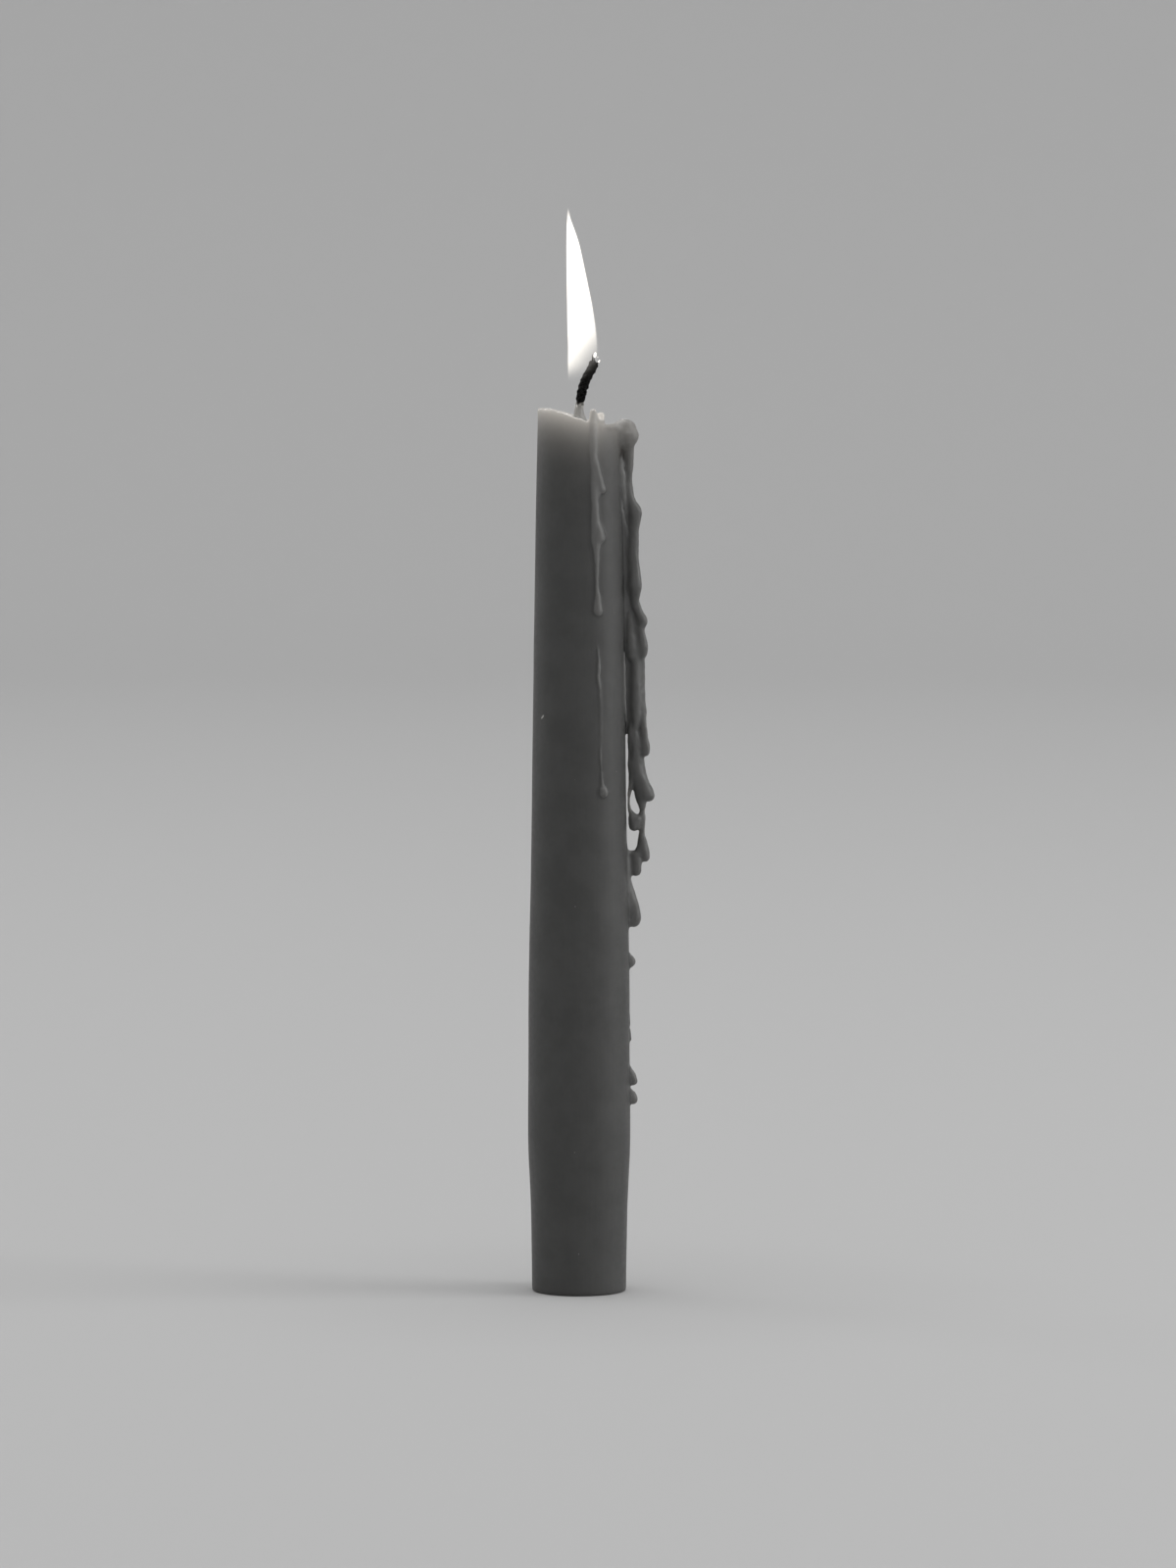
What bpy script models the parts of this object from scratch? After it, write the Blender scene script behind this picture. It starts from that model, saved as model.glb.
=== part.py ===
"""A burning dinner candle that has dripped down one side.

The candle stands on its butt. The origin is the centre of the butt's flat end, +Z runs up
the candle, and +X points to the side with the thick curtain of runs. -Y is the front, where
the single thin run is. Every length below is in millimetres and is turned to metres once,
when a mesh is made.

Sub-parts: wax_body (stem and every run fused to it), wick (one cotton braid), melt_pool
(the liquid wax in the cup) and flame (the luminous body above the wick).
"""

import math

import bmesh
import bpy
from mathutils import Vector

MM = 0.001

# ---- driving dimensions, in millimetres ----
GAP = 0.3                     # clearance between neighbouring pieces

BUTT_FLAT_RADIUS = 9.7        # flat end that the candle stands on
BUTT_EDGE = 0.4               # rounding between the flat end and the side
STEM_PROFILE = (              # height, radius: the butt swells, then the stem tapers
    (0.4, 10.1), (9, 10.2), (18, 10.35), (24, 10.6), (31, 10.9), (50, 10.85), (66, 10.8),
    (98, 10.2), (129, 9.8), (150, 9.5), (182, 8.9), (190, 8.75),
)
STEM_SEGMENTS = 56
STEM_RING_STEP = 12.0         # spacing of the rings up the stem

RIM_HEIGHT = 187.1            # the rim's middle height
RIM_FALL = 1.9                # how far it rises at -X and falls at +X
RIM_BLEND = 14.0              # length of stem over which the slope of the rim fades out
LIP_WIDTH = 1.3               # thickness of the thin wall round the cup
LIP_RINGS = 3
CUP_FLOOR = 181.8             # height of the wax at the foot of the wick
CUP_POWER = 3.0               # how flat the cup's floor is before its wall turns up
CUP_STEPS = 6
POOL_LEVEL = 184.0            # surface of the liquid wax
POOL_EDGE = 0.03              # outer ring of the surface, as a share of the way in

WICK_RADIUS = 0.9
WICK_SIDES = 12
WICK_STRAIGHT = (4.2, 60, 120, 180)   # heights of the rings up the straight, hidden part
WICK_BEND = (                 # x, y, height of the burnt end, which leans and hooks to +X
    (0, 0, 186.8), (0.25, 0, 190.5), (0.9, 0, 193.6), (1.85, 0, 196), (2.8, 0, 197.8),
    (3.35, 0, 199.4),
)
WICK_STEP = 1.3               # spacing of the rings along the bend

FLAME_SECTIONS = (            # height, middle in x, half width
    (201.4, 0.80, 2.30), (202.2, 0.79, 3.00), (203.5, 0.75, 3.20), (205.3, 0.63, 3.15),
    (211.3, 0.09, 2.70), (217.2, -0.56, 2.13), (223.6, -1.27, 1.45), (227.6, -1.90, 0.86),
    (229.6, -2.28, 0.42),
)
FLAME_TIP = (-2.55, 231.0)
FLAME_DEPTH = 0.92            # depth of the flame, front to back, over its width
FLAME_SIDES = 24

RUN_SIDES = 10                # sides of a swept run
RUN_STEP = 2.4                # spacing of the rings along a run
CAP_RINGS = 2                 # rings that round off each end of a run
SHARP_ANGLE = math.radians(50)

# ---- worked out from those above ----
WICK_HOLE = WICK_RADIUS + GAP
CUP_RADIUS = STEM_PROFILE[-1][1] - LIP_WIDTH      # inner edge of the lip


# ---- helpers ----
def clear_scene():
    """Remove whatever the file opened with."""
    for item in list(bpy.data.objects):
        bpy.data.objects.remove(item, do_unlink=True)


def make_material(name, colour, roughness, alpha=1.0):
    """A Principled material in one colour."""
    material = bpy.data.materials.new(name)
    material.use_nodes = True
    shader = material.node_tree.nodes["Principled BSDF"]
    shader.inputs["Base Color"].default_value = (*colour, 1.0)
    shader.inputs["Roughness"].default_value = roughness
    shader.inputs["Alpha"].default_value = alpha
    return material


def mesh_object(name, rings, ends=None, material=None):
    """A closed solid from rings of points.

    The rings are drawn in to the two end points, or, without any, joined last to first.
    """
    bm = bmesh.new()
    loops = [[bm.verts.new(Vector(point) * MM) for point in ring] for ring in rings]
    count = len(rings[0])
    following = loops[1:] if ends else loops[1:] + loops[:1]
    for lower, upper in zip(loops, following):
        for i in range(count):
            j = (i + 1) % count
            bm.faces.new((lower[i], lower[j], upper[j], upper[i]))
    if ends:
        first, final = [bm.verts.new(Vector(point) * MM) for point in ends]
        for i in range(count):
            j = (i + 1) % count
            bm.faces.new((loops[0][j], loops[0][i], first))
            bm.faces.new((loops[-1][i], loops[-1][j], final))
    bmesh.ops.triangulate(bm, faces=bm.faces[:])
    mesh = bpy.data.meshes.new(name)
    bm.to_mesh(mesh)
    bm.free()
    mesh.shade_smooth()
    mesh.set_sharp_from_angle(angle=SHARP_ANGLE)
    if material:
        mesh.materials.append(material)
    item = bpy.data.objects.new(name, mesh)
    bpy.context.scene.collection.objects.link(item)
    return item


def between(table, height):
    """Read a (height, value) table, with straight lines between its rows."""
    if height <= table[0][0]:
        return table[0][1]
    for (low, a), (high, b) in zip(table, table[1:]):
        if height <= high:
            return a + (b - a) * (height - low) / (high - low)
    return table[-1][1]


def stem_radius(height):
    return between(STEM_PROFILE, height)


def smooth_points(route, step):
    """Points about one step apart on a smooth curve through a route of equal tuples."""
    ends = [route[0]] + list(route) + [route[-1]]
    points = []
    for a, b, c, d in zip(ends, ends[1:], ends[2:], ends[3:]):
        length = math.dist(b[:3], c[:3])
        count = max(1, round(length / step))
        for k in range(count):
            t = k / count
            points.append(tuple(
                0.5 * (2 * q + (r - p) * t + (2 * p - 5 * q + 4 * r - s) * t ** 2
                       + (3 * q - p - 3 * r + s) * t ** 3)
                for p, q, r, s in zip(a, b, c, d)))
    points.append(tuple(route[-1]))
    return points


def ring_across(centre, normal, start, radius, sides):
    """A ring of points round a centre, square to normal, with its first point near start."""
    side = (start - normal * start.dot(normal)).normalized()
    other = normal.cross(side)
    return [centre + side * (radius * math.cos(turn)) + other * (radius * math.sin(turn))
            for turn in (math.tau * i / sides for i in range(sides))]


def swept(name, points, sides, material=None):
    """A round-ended tube through points of (x, y, z, radius)."""
    centres = [Vector(point[:3]) for point in points]
    radii = [point[3] for point in points]
    last = len(points) - 1
    headings = [(centres[min(i + 1, last)] - centres[max(i - 1, 0)]).normalized()
                for i in range(last + 1)]
    front = Vector((0, -1, 0))
    sections = list(zip(centres, headings, radii))
    for k in range(CAP_RINGS, 0, -1):
        turn = math.pi / 2 * k / (CAP_RINGS + 1)
        reach, shrink = math.cos(turn), math.sin(turn)
        tail = centres[0] - headings[0] * (radii[0] * reach)
        nose = centres[-1] + headings[-1] * (radii[-1] * reach)
        sections.insert(0, (tail, headings[0], radii[0] * shrink))
        sections.append((nose, headings[-1], radii[-1] * shrink))
    rings = [ring_across(centre, heading, front, radius, sides)
             for centre, heading, radius in sections]
    ends = (centres[0] - headings[0] * radii[0], centres[-1] + headings[-1] * radii[-1])
    return mesh_object(name, rings, ends, material)


# ---- stem ----
def rim_height(turn):
    """Height of the rim round the candle: the flame has eaten the +X side lower."""
    return RIM_HEIGHT - RIM_FALL * math.sin(math.pi / 2 * math.cos(turn))


def cup_height(radius, turn):
    """Height of the cup's floor and wall at a radius, between the wick and the lip."""
    share = max(0.0, (radius - WICK_HOLE) / (CUP_RADIUS - WICK_HOLE))
    top = rim_height(turn) - LIP_WIDTH / 2
    return CUP_FLOOR + (top - CUP_FLOOR) * share ** CUP_POWER


def make_stem(material):
    """The stem: up the side, over the lip, down the cup and into the wick's blind hole."""
    turns = [math.tau * i / STEM_SEGMENTS for i in range(STEM_SEGMENTS)]

    def ring(radius, height_at):
        return [(radius * math.cos(turn), radius * math.sin(turn), height_at(turn))
                for turn in turns]

    rings = [ring(BUTT_FLAT_RADIUS, lambda turn: 0.0)]
    side_top = RIM_HEIGHT - LIP_WIDTH / 2
    count = round((side_top - BUTT_EDGE) / STEM_RING_STEP)
    for k in range(count + 1):
        level = BUTT_EDGE + (side_top - BUTT_EDGE) * k / count
        share = max(0.0, 1 - (side_top - level) / RIM_BLEND)
        ease = share * share * (3 - 2 * share)
        rings.append(ring(stem_radius(level),
                          lambda turn: level + ease * (rim_height(turn) - RIM_HEIGHT)))
    half = LIP_WIDTH / 2
    for k in range(1, LIP_RINGS + 1):
        lean = math.pi * k / (LIP_RINGS + 1)
        rings.append(ring(CUP_RADIUS + half + half * math.cos(lean),
                          lambda turn: rim_height(turn) - half * (1 - math.sin(lean))))
    for k in range(CUP_STEPS + 1):
        radius = CUP_RADIUS + (WICK_HOLE - CUP_RADIUS) * k / CUP_STEPS
        rings.append(ring(radius, lambda turn: cup_height(radius, turn)))
    hole_foot = WICK_STRAIGHT[0] - WICK_RADIUS - GAP
    rings.append(ring(WICK_HOLE, lambda turn: hole_foot))
    return mesh_object("wax_body", rings, ((0, 0, 0), (0, 0, hole_foot)), material)


# ---- wax that ran down the outside ----
def on_front(x, height, lift, radius):
    """A route point on the front of the stem, its middle lifted off the surface."""
    reach = stem_radius(height) + lift
    return (x, -math.sqrt(reach * reach - x * x), height, radius)


def front_runs():
    """The thin run down the front, its side drop, its dried trace and beads."""
    return {
        "front_run": [
            on_front(2.85, 188.3, -0.5, 0.65), on_front(2.85, 186.1, 0.0, 0.7),
            on_front(2.9, 181.7, 0.1, 0.65), on_front(3.1, 175.4, 0.1, 0.65),
            on_front(3.3, 168.8, 0.1, 0.6), on_front(3.55, 164, 0.15, 0.75),
            on_front(3.95, 161.3, 0.3, 1.1), on_front(3.7, 158.5, 0.1, 0.6),
            on_front(3.65, 155.9, 0.05, 0.5), on_front(3.7, 151.3, 0.05, 0.5),
            on_front(3.95, 148.6, 0.1, 0.65), on_front(4.1, 146.4, 0.2, 0.85),
        ],
        "front_side_drop": [
            on_front(3.05, 178.7, 0.1, 0.5), on_front(3.75, 175.7, 0.1, 0.5),
            on_front(4.4, 173.4, 0.1, 0.5), on_front(4.85, 171.8, 0.15, 0.55),
        ],
        "front_trace": [
            on_front(4.1, 138.8, -0.1, 0.35), on_front(4.25, 133.9, 0.0, 0.45),
            on_front(4.1, 131.7, -0.05, 0.4), on_front(4.35, 127.1, -0.15, 0.4),
            on_front(4.55, 118.2, -0.2, 0.4), on_front(4.65, 111.2, -0.1, 0.35),
            on_front(4.85, 109, 0.0, 0.45),
        ],
        "front_bead": [on_front(5.15, 108.1, 0.2, 0.85), on_front(5.3, 107.6, 0.2, 0.85)],
        "rim_bead": [(4.7, -5.8, 185.6, 0.9), (4.8, -5.5, 187.5, 0.8)],
    }


def curtain_runs():
    """The thick curtain at +X: strands that flowed over each other, then hung clear."""
    return {
        "shoulder": [(8.2, -0.9, 184.4, 1.2), (10, -0.8, 184.9, 1.95)],
        "knob": [(10.2, -0.7, 184.8, 2.1), (10.6, -0.6, 183, 2)],
        "outer_strand": [
            (10.6, -0.6, 182.8, 1.4), (10.5, -0.6, 178.4, 1.1), (10.5, -0.5, 173.4, 0.95),
            (11.1, -0.4, 170.2, 1.35), (11.8, -0.3, 167.1, 1.4), (11.6, -0.4, 163, 1.15),
            (11.7, -0.6, 158.5, 1.05), (12.2, -0.6, 153, 1.15), (12.1, -0.5, 148.5, 1.0),
            (12.8, -0.4, 145.1, 1.2), (13.4, -0.3, 142.5, 1.2), (13.2, -0.2, 140.1, 1.0),
            (13.5, -0.2, 137.1, 1.15), (13, -0.3, 133.5, 1.05), (12.8, -0.4, 129.5, 1.15),
            (13, -0.4, 124.5, 1.25), (13.5, -0.3, 119.3, 1.3), (14.2, -0.2, 115.9, 1.05),
        ],
        "inner_strand": [
            (10, -1.5, 183.2, 1.0), (9.8, -1.9, 180.4, 0.9), (9.8, -2.0, 173.4, 0.9),
            (10.1, -2.0, 166.5, 1.0), (10.2, -2.0, 158.5, 0.95), (10.4, -1.9, 150.5, 0.95),
            (10.8, -1.8, 143.5, 1.05), (11.1, -1.7, 138.5, 1.15), (11.2, -1.7, 135.7, 1.1),
        ],
        "crossing_strand": [
            (9, -2.9, 167, 0.6), (9.6, -2.6, 163.5, 0.7), (10.7, -2.0, 159, 0.75),
            (11.5, -1.4, 153, 0.85), (12, -1.2, 148, 0.7),
        ],
        "back_strand": [
            (9.5, 1.0, 183.4, 1.6), (10.1, 1.2, 176.4, 1.2), (10.7, 1.2, 168.4, 1.3),
            (10.9, 1.1, 158.5, 1.2), (11.3, 1.2, 148.5, 1.3), (11.7, 1.2, 138.5, 1.3),
            (11.8, 1.1, 128.5, 1.25), (11.9, 1.0, 120.5, 1.1),
        ],
        "root_web": [
            (8.8, -0.6, 182.4, 1.4), (9.4, -0.6, 172.4, 1.5), (9.9, -0.5, 160.5, 1.5),
            (10.1, -0.4, 148.5, 1.5), (10.2, -0.3, 136.5, 1.5), (10.3, -0.3, 126.5, 1.3),
            (10.6, -0.3, 122, 1.0),
        ],
        "middle_strand": [
            (11.9, -1.2, 134.5, 1.0), (12.1, -1.0, 128.5, 1.3), (12.1, -0.8, 121.5, 1.3),
            (12.3, -0.6, 116, 1.3), (13, -0.4, 111.5, 1.35), (14.2, -0.2, 108.4, 1.3),
            (14.8, -0.1, 106.9, 1.15),
        ],
        "hanging_strand": [
            (12.8, -0.2, 112.5, 1.2), (13.2, 0.0, 106.5, 1.1), (13.4, 0.1, 103, 0.65),
            (13.4, 0.1, 99.1, 0.65), (13.6, 0.1, 96.1, 1.0), (13.9, 0.1, 94.1, 1.2),
            (14, 0.1, 93.4, 1.15),
        ],
        "dark_strand": [
            (11.4, -0.6, 122.5, 1.2), (11.6, -0.9, 116.5, 1.25), (11.5, -1.0, 112, 1.15),
            (10.9, -1.0, 108.5, 0.55), (10.8, -0.9, 105.5, 0.42), (11.2, -0.8, 102.3, 0.65),
            (11.6, -0.7, 100.7, 0.9), (11.2, -0.7, 99.1, 0.5),
        ],
        "window_web": [(11.6, -0.6, 101.3, 0.9), (12.4, -0.2, 101.6, 1.1),
                       (13.3, 0.1, 102.3, 0.9)],
        "left_lobe": [
            (13.6, 0.1, 95.7, 0.8), (12.6, -0.3, 93.7, 1.15), (12.1, -0.4, 91.7, 1.3),
            (12, -0.4, 90.6, 1.25),
        ],
    }


def lower_drops():
    """Separate drops that froze lower down the +X side."""
    return {
        "drop_high": [(10.2, -0.4, 94.5, 0.5), (10.9, -0.4, 87, 0.75), (11.6, -0.4, 83, 0.9),
                      (12.1, -0.4, 80.2, 1.1), (12.2, -0.4, 79.1, 1.05)],
        "drop_small": [(10.4, -0.3, 72.6, 0.4), (11.2, -0.3, 71, 0.85),
                       (10.7, -0.3, 70.2, 0.75)],
        "bump_high": [(10.5, 0, 59.5, 0.35), (10.6, 0, 57.3, 0.4)],
        "bump_low": [(10.6, 0, 56.1, 0.4), (10.7, 0, 54.2, 0.55)],
        "bead_high": [(10.6, -0.3, 48.5, 0.4), (11.3, -0.3, 46.4, 0.85),
                      (11.6, -0.3, 45.2, 0.95)],
        "bead_low": [(10.7, -0.3, 43.2, 0.5), (11.4, -0.3, 42.1, 0.9), (11.6, -0.3, 41.2, 0.95)],
    }


def make_wax_body(material):
    """The stem with every run fused to it, as one solid."""
    body = make_stem(material)
    runs = {**curtain_runs(), **front_runs(), **lower_drops()}
    for name, route in runs.items():
        run = swept(name, smooth_points(route, RUN_STEP), RUN_SIDES)
        run.hide_render = True
        run.display_type = "WIRE"
        union = body.modifiers.new(name, "BOOLEAN")
        union.operation = "UNION"
        union.solver = "EXACT"
        union.object = run
    return body


# ---- wick, liquid wax and flame ----
def make_wick(material):
    """One braid, from just above the flat end to the hooked burnt tip."""
    centres = [(0, 0, height) for height in WICK_STRAIGHT] + smooth_points(WICK_BEND, WICK_STEP)
    points = [(*centre, WICK_RADIUS) for centre in centres]
    return swept("wick", points, WICK_SIDES, material)


def make_melt_pool(material):
    """Liquid wax over the cup's floor: a flat surface with a hole for the wick."""
    turns = [math.tau * i / STEM_SEGMENTS for i in range(STEM_SEGMENTS)]
    hole = WICK_HOLE

    def shore(turn):
        top = rim_height(turn) - LIP_WIDTH / 2
        share = (POOL_LEVEL - GAP - CUP_FLOOR) / (top - CUP_FLOOR)
        return hole + (CUP_RADIUS - hole) * share ** (1 / CUP_POWER) - GAP

    def surface(turn, share):
        radius = shore(turn) * (1 - share) + hole * share
        return (radius * math.cos(turn), radius * math.sin(turn), POOL_LEVEL)

    def underside(turn, share):
        radius = shore(turn) * share + hole * (1 - share)
        height = min(cup_height(radius + GAP, turn) + GAP, POOL_LEVEL - GAP / 2)
        return (radius * math.cos(turn), radius * math.sin(turn), height)

    rings = [[surface(turn, share) for turn in turns] for share in (POOL_EDGE, 1.0)]
    for k in range(CUP_STEPS + 1):
        rings.append([underside(turn, k / CUP_STEPS) for turn in turns])
    return mesh_object("melt_pool", rings, material=material)


def make_flame(material):
    """The bright body of the flame, a leaf shape that leans back over the wick."""
    turns = [math.tau * i / FLAME_SIDES for i in range(FLAME_SIDES)]
    rings = [[(middle + half * math.cos(turn), half * FLAME_DEPTH * math.sin(turn), height)
              for turn in turns] for height, middle, half in FLAME_SECTIONS]
    foot_height, foot_middle, _ = FLAME_SECTIONS[0]
    ends = ((foot_middle, 0, foot_height), (FLAME_TIP[0], 0, FLAME_TIP[1]))
    return mesh_object("flame", rings, ends, material)


# ---- colours (linear red, green, blue) and how rough each surface is ----
WAX_COLOUR, WAX_ROUGH = (0.068, 0.068, 0.067), 0.45
CHAR_COLOUR, CHAR_ROUGH = (0.012, 0.011, 0.01), 0.95
LIQUID_COLOUR, LIQUID_ROUGH = (0.2, 0.198, 0.19), 0.12
FLAME_COLOUR, FLAME_ROUGH, FLAME_ALPHA = (1.0, 0.97, 0.9), 0.5, 0.8

clear_scene()
make_wax_body(make_material("wax", WAX_COLOUR, WAX_ROUGH))
make_wick(make_material("charred cotton", CHAR_COLOUR, CHAR_ROUGH))
make_melt_pool(make_material("liquid wax", LIQUID_COLOUR, LIQUID_ROUGH))
make_flame(make_material("flame", FLAME_COLOUR, FLAME_ROUGH, alpha=FLAME_ALPHA))
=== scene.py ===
# %% [markdown]
# # A melted dinner candle
#
# This lesson builds the looks of a burning candle that has dripped down one side. Its solids
# are already fixed: a frame holds the wax body, the wick, the liquid wax and the flame at
# their true size, in metres, with the candle standing on the origin and +Z up the wick.
# Each step makes one visible piece that stands for one of those solids.

# %% Load the frame and keep its box
import math
import random

import bmesh
import bpy
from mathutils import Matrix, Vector


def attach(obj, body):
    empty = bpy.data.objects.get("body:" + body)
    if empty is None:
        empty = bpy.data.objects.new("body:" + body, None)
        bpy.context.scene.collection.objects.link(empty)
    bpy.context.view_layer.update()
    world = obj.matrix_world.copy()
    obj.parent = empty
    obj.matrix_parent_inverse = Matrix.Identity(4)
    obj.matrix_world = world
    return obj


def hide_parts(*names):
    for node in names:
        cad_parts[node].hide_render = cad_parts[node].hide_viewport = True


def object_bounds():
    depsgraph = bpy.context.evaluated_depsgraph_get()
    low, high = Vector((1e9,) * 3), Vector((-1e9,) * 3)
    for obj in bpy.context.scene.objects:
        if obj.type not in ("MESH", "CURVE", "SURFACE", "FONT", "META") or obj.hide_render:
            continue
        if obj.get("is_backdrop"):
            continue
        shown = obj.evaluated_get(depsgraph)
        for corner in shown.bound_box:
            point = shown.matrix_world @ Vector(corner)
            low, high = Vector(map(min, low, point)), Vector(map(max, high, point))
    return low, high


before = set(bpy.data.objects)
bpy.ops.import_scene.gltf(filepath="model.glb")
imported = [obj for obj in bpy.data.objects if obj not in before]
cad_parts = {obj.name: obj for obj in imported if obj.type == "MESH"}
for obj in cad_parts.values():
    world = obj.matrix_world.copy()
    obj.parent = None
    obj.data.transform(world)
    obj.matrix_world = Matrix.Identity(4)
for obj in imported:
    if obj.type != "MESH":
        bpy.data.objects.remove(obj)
cad_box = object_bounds()
print("solids:", sorted(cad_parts))
print("height of the candle and its flame: %.1f mm" % (cad_box[1].z * 1000))

# %% [markdown]
# ## Units and colours
#
# A candle maker thinks in millimetres and Blender's scene is in metres, so lengths are
# written in millimetres and turned to metres once. Colours are easiest to judge as the sRGB
# hex values of a paint chart, while a shader works in linear light, so one function turns
# one into the other.

# %% Millimetres and linear colour
MM = 0.001


def linear(code):
    """An sRGB hex colour as the linear RGBA that a shader wants."""
    shares = [int(code[i:i + 2], 16) / 255 for i in (1, 3, 5)]
    return (*[c / 12.92 if c <= 0.04045 else ((c + 0.055) / 1.055) ** 2.4 for c in shares], 1.0)


print("middle grey #808080 is %.3f in linear light" % linear("#808080")[0])


# %% [markdown]
# ## One helper for every node
#
# Materials and Geometry Nodes are both trees of nodes. One small function adds a node, sets
# its options, and fills each input either with a value or with a link from another node.
# Its second half also works alone, on a node that is already there, such as a shader. Sums
# take many nodes in a row, so a third function adds a chain of them from a list of steps.
# A few more turn what a tree makes into an ordinary mesh, which keeps no modifier.

# %% Add nodes
# The kinds of node that these trees need most.
MATH, VECTOR_MATH, MAP_RANGE = "ShaderNodeMath", "ShaderNodeVectorMath", "ShaderNodeMapRange"


def fill(node, inputs):
    """Fill a node's inputs; each takes a value, a socket or a whole node."""
    for key, value in inputs.items():
        if isinstance(value, bpy.types.Node):
            value = next(out for out in value.outputs if out.enabled)
        if isinstance(value, bpy.types.NodeSocket):
            node.id_data.links.new(value, node.inputs[key])
        else:
            node.inputs[key].default_value = value


def add(tree, kind, inputs=None, **settings):
    """Add a node with its settings and fill its inputs."""
    made = tree.nodes.new(kind)
    for option, value in settings.items():
        setattr(made, option, value)
    fill(made, inputs or {})
    return made


def chain(tree, kind, first, *steps):
    """Nodes of one kind in a row: each step is an operation on the last result and others."""
    for operation, *others in steps:
        first = add(tree, kind, dict(enumerate((first, *others))), operation=operation)
    return first


def between(low, high, start=0.0, end=1.0):
    """Inputs of a Map Range node that turns low to high into start to end."""
    return {"From Min": low, "From Max": high, "To Min": start, "To Max": end}


# %% From a tree to a plain mesh
def empty_tree(name, sockets):
    """A Geometry Nodes tree with its input and output nodes and named inputs."""
    tree = bpy.data.node_groups.new(name, "GeometryNodeTree")
    tree.interface.new_socket("Geometry", in_out="INPUT", socket_type="NodeSocketGeometry")
    tree.interface.new_socket("Geometry", in_out="OUTPUT", socket_type="NodeSocketGeometry")
    for label, kind in sockets:
        tree.interface.new_socket(label, in_out="INPUT", socket_type="NodeSocket" + kind)
    return tree, tree.nodes.new("NodeGroupInput"), tree.nodes.new("NodeGroupOutput")


def new_object(name, data):
    """An object in the scene for a mesh, a curve, a lamp or a camera."""
    made = bpy.data.objects.new(name, data)
    bpy.context.scene.collection.objects.link(made)
    return made


def plain_mesh(source, name):
    """What an object looks like after its modifiers, as a mesh of its own."""
    bpy.context.view_layer.update()
    shown = source.evaluated_get(bpy.context.evaluated_depsgraph_get())
    mesh = bpy.data.meshes.new_from_object(shown)
    mesh.name = name
    return mesh


def grown(source, tree, values, name):
    """Run a tree on an object and keep the result as a plain mesh object."""
    modifier = source.modifiers.new(tree.name, "NODES")
    modifier.node_group = tree
    for item in tree.interface.items_tree:
        if item.in_out == "INPUT" and item.name in values:
            modifier[item.identifier] = values[item.name]
    mesh = plain_mesh(source, name)
    finish = next(slot for slot in mesh.materials if slot)
    mesh.materials.clear()
    mesh.materials.append(finish)
    mesh.polygons.foreach_set("material_index", [0] * len(mesh.polygons))
    bpy.data.objects.remove(source)
    return new_object(name, mesh)


# %% [markdown]
# ## Where the camera stands
#
# A candle is a tall, narrow thing, so the picture is upright and the lens is long. The
# camera stands a little above the candle's top and looks down by about four degrees, which
# shows the rim as a thin ellipse.

# %% Camera
LENS, SENSOR = 174.375, 36.0         # mm
CAMERA_PLACE = (1.9, -1618.0, 229.4)
CAMERA_DIP = 4.2577                  # degrees below the horizon
CAMERA_SEES = (0.05, 20.0)           # nearest and farthest, in metres

camera_data = bpy.data.cameras.new("camera")
camera_data.lens, camera_data.sensor_width = LENS, SENSOR
camera_data.clip_start, camera_data.clip_end = CAMERA_SEES
camera = new_object("camera", camera_data)
camera.location = Vector(CAMERA_PLACE) * MM
camera.rotation_euler = (math.radians(90 - CAMERA_DIP), 0, 0)
bpy.context.scene.camera = camera
bpy.context.scene.view_settings.view_transform = "Standard"
print("camera %.2f m from the candle" % camera.location.length)

# %% [markdown]
# ## Floor and backdrop
#
# The candle stands on a pale grey sweep: a round floor that curves up into a wall on every
# side, as photographers bend a roll of paper. It is a profile spun round the candle, so it
# looks the same from everywhere, and it is far enough away that no camera stands behind it.
# Four of this lesson's shapes are lofts, rings of points joined by faces, so that is a helper.

# %% Rings of points to a smooth object
def full_turn(count):
    """Equal angles once round."""
    return [math.tau * i / count for i in range(count)]


def lofted(bm, loops):
    """Faces from each closed ring of vertices to the next."""
    for lower, upper in zip(loops, loops[1:]):
        for i in range(len(lower)):
            j = (i + 1) % len(lower)
            bm.faces.new((lower[i], lower[j], upper[j], upper[i]))


def smooth_object(bm, name, finish):
    """Close a bmesh and make it an object with one material."""
    mesh = bpy.data.meshes.new(name)
    bm.to_mesh(mesh)
    bm.free()
    mesh.shade_smooth()
    mesh.materials.append(finish)
    print(name, "has", len(mesh.polygons), "faces")
    return new_object(name, mesh)


# %% Start a material
def principled(material):
    """The material's tree and its shader."""
    material.use_nodes = True
    return material.node_tree, material.node_tree.nodes["Principled BSDF"]


def object_mm(tree):
    """The place on a piece in millimetres, for patterns of a real size."""
    at = add(tree, "ShaderNodeTexCoord")
    return add(tree, VECTOR_MATH, {0: at.outputs["Object"], "Scale": 1 / MM},
               operation="SCALE")


# %% Sweep
FLOOR_RADIUS, COVE_RADIUS, WALL_TOP = 2.2, 0.9, 1.3      # metres
COVE_STEPS, SWEEP_TURNS = 12, 96
PAPER_GREY, PAPER_ROUGH = "#c2c2c2", 0.9

paper = bpy.data.materials.new("matt paper sweep")
_, paper_shader = principled(paper)
fill(paper_shader, {"Base Color": linear(PAPER_GREY), "Roughness": PAPER_ROUGH})

profile = [(FLOOR_RADIUS, 0.0)]
for k in range(1, COVE_STEPS + 1):
    lean = math.pi / 2 * k / COVE_STEPS
    profile.append((FLOOR_RADIUS + COVE_RADIUS * math.sin(lean),
                    COVE_RADIUS * (1 - math.cos(lean))))
profile.append((FLOOR_RADIUS + COVE_RADIUS, WALL_TOP))

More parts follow.
